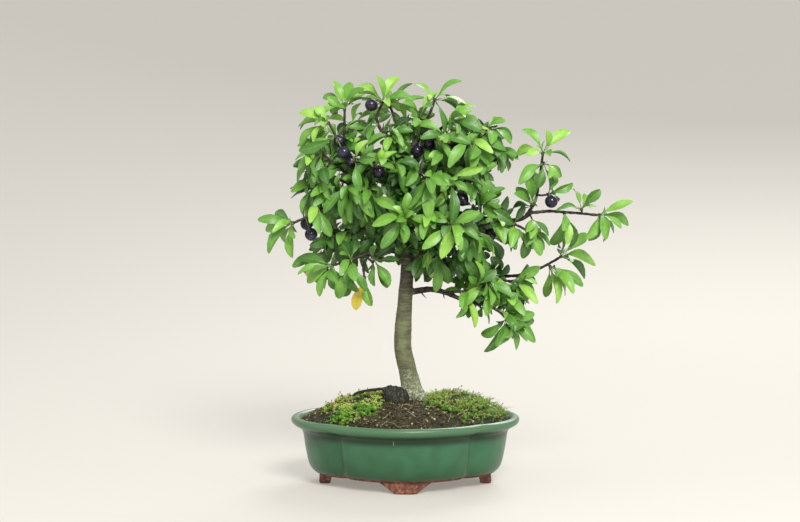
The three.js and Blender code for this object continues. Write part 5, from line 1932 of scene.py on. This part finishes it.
@dataclass
class Sloes:
    """The blue-black fruit, each on its stalk from the nearest stem."""

    radius: float = 7.1
    stalk_radius: float = 0.65

    def stems(self) -> Array:
        """Points along all the wood that a fruit can hang from."""
        lines = [smooth_curve(EYE.seen(knots), evenly(31)) for knots, _, _ in LIMBS.values()]
        for name, (_, knots, buds) in SPRAYS.items():
            spray = Spray(name, knots, buds)
            lines.append(spray.curve(31))
            lines += [hold + (centre - hold) * evenly(8)[:, None] for centre, hold, _, _ in spray.places()]
        return np.vstack(lines)

    def fruit(self, middle: Array, hold: Array, dust: float) -> Shell:
        """A fruit: a ball with a dimple at the stalk and a small scar at the other end.

        The distance from the middle at an angle a from the stalk is the radius times
        1 - 0.1 exp(-(a / 0.3)²) - 0.03 exp(-((pi - a) / 0.2)²).
        """
        axis = unit(hold - middle)
        side = unit(np.cross(axis, [0.3, 0.9, 0.2]))
        other = np.cross(axis, side)
        lift = np.linspace(0.06, np.pi - 0.06, 26)
        turn = circle(36)
        dimple, scar = np.exp(-((lift / 0.3) ** 2)), np.exp(-(((np.pi - lift) / 0.2) ** 2))
        reach = self.radius * (1 - 0.1 * dimple - 0.03 * scar)
        level = (reach * np.sin(lift))[:, None, None]
        height = (reach * np.cos(lift) * 1.02)[:, None, None]
        spokes = np.cos(turn)[:, None] * side - np.sin(turn)[:, None] * other
        rings = middle + height * axis + level * spokes
        return ringed(rings).marked(stalk=0.0, dust=dust)

    def build(self) -> None:
        """Adds the sloes."""
        rng = np.random.default_rng(71)
        stems = self.stems()
        shells = []
        for number, place in enumerate(SLOES):
            middle = EYE.seen(place)[0]
            hold = stems[lengths_of(stems - middle - UP * self.radius).argmin()]
            shells.append(self.fruit(middle, hold, 1.0 if number == 1 else rng.uniform(0.15, 0.6)))
            start = middle + unit(hold - middle) * self.radius * 0.85
            share = evenly(6)[:, None]
            stalk = start + (hold - start) * share + UP * 0.4 * np.sin(np.pi * share)
            radii = np.linspace(self.stalk_radius * 1.3, self.stalk_radius, 6)
            shells.append(tube(stalk, radii, 7).marked(stalk=1.0, dust=0.0))
        nodes = [f"sloe_{i + 1}" for i in range(len(SLOES))]
        add_piece("sloes", joined(shells), [Bloom().material()], nodes)


# Floor, light and camera


@dataclass
class Studio:
    """A pale round floor with a rim that bends up far out, soft lights and the camera."""

    floor_radius: float = 1.7
    bend_radius: float = 4.5
    steepest: float = 1.1
    around: int = 96

    def sweep(self) -> None:
        """The floor: a line turned about +Z, level at first, then up along part of a wide circle."""
        bend = np.linspace(0, self.steepest, 16)
        reach = np.concatenate([[0.4, 1.0], self.floor_radius + self.bend_radius * np.sin(bend)])
        height = np.concatenate([[0, 0], self.bend_radius * (1 - np.cos(bend))])
        angle = circle(self.around)
        x, y = reach[:, None] * np.cos(angle), reach[:, None] * np.sin(angle)
        rings = np.stack([x, y, height[:, None] + 0 * angle], axis=-1)
        quads = ring_faces(len(reach), self.around)[0][:, ::-1]
        mesh = bpy.data.meshes.new("floor")
        mesh.from_pydata(rings.reshape(-1, 3).tolist(), [], [*quads.tolist(), list(range(self.around))])
        mesh.shade_smooth()
        mesh.materials.append(Ground().material())
        floor = placed("floor", mesh)

    def lamp(self, name: str, place: tuple, size: float, power: float, tint: Colour) -> None:
        """A square soft light at a place in metres, turned to the tree."""
        light = bpy.data.lights.new(name, "AREA")
        light.size = size
        light.energy = power
        light.color = tint
        lamp = placed(name, light)
        lamp.location = place
        aim = np.array([0, 0, 0.24]) - np.array(place)
        lamp.rotation_euler = (math.acos(-aim[2] / np.linalg.norm(aim)), 0, math.atan2(-aim[0], aim[1]))

    def build(self) -> None:
        """Adds the floor, lights, surrounding light and camera."""
        self.sweep()
        self.lamp("key", (0.55, -2.3, 1.9), 1.0, 92, (1.0, 0.985, 0.95))
        self.lamp("fill", (-2.2, -0.6, 1.2), 1.4, 6, (0.95, 0.98, 1.0))
        self.lamp("back", (0.8, 2.2, 2.0), 1.4, 46, (1.0, 1.0, 1.0))
        world = bpy.data.worlds.new("studio")
        world.use_nodes = True
        world.node_tree.nodes["Background"].inputs["Color"].default_value = (0.93, 0.96, 1.0, 1)
        world.node_tree.nodes["Background"].inputs["Strength"].default_value = 0.62
        bpy.context.scene.world = world
        camera = bpy.data.cameras.new("camera")
        camera.sensor_width = 36
        camera.lens = 36 * EYE.focus / EYE.view_width
        camera.clip_end = 50
        view = placed("camera", camera)
        view.location = POT_MIDDLE + np.array([EYE.across, -EYE.distance, EYE.height]) * MM
        view.rotation_euler = (math.radians(90 - EYE.down), 0, 0)
        bpy.context.scene.camera = view
        bpy.context.scene.view_settings.view_transform = "Standard"


def main() -> None:
    """Builds the bonsai piece by piece, then its studio."""
    logging.basicConfig(level=logging.INFO, format="%(message)s")
    pot = Pot()
    pot.build()
    screens = Mesh().material()
    for name in ("screen_left", "screen_right"):
        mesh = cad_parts[name].data
        mesh.materials.clear()
        mesh.materials.append(screens)
    soil = Soil(pot)
    soil.build()
    Cushion(soil, Cover.ROSETTES, (-56, -8), (35, 58), 7.5, 1.8, 5).build()
    Cushion(soil, Cover.FEATHERS, (69, -6), (43, 53), 10, 2.2, 8).build()
    bark = Bark().material()
    Tree().build(bark)
    Foliage().build(bark)
    Sloes().build()
    Studio().build()


if __name__ == "__main__":
    main()
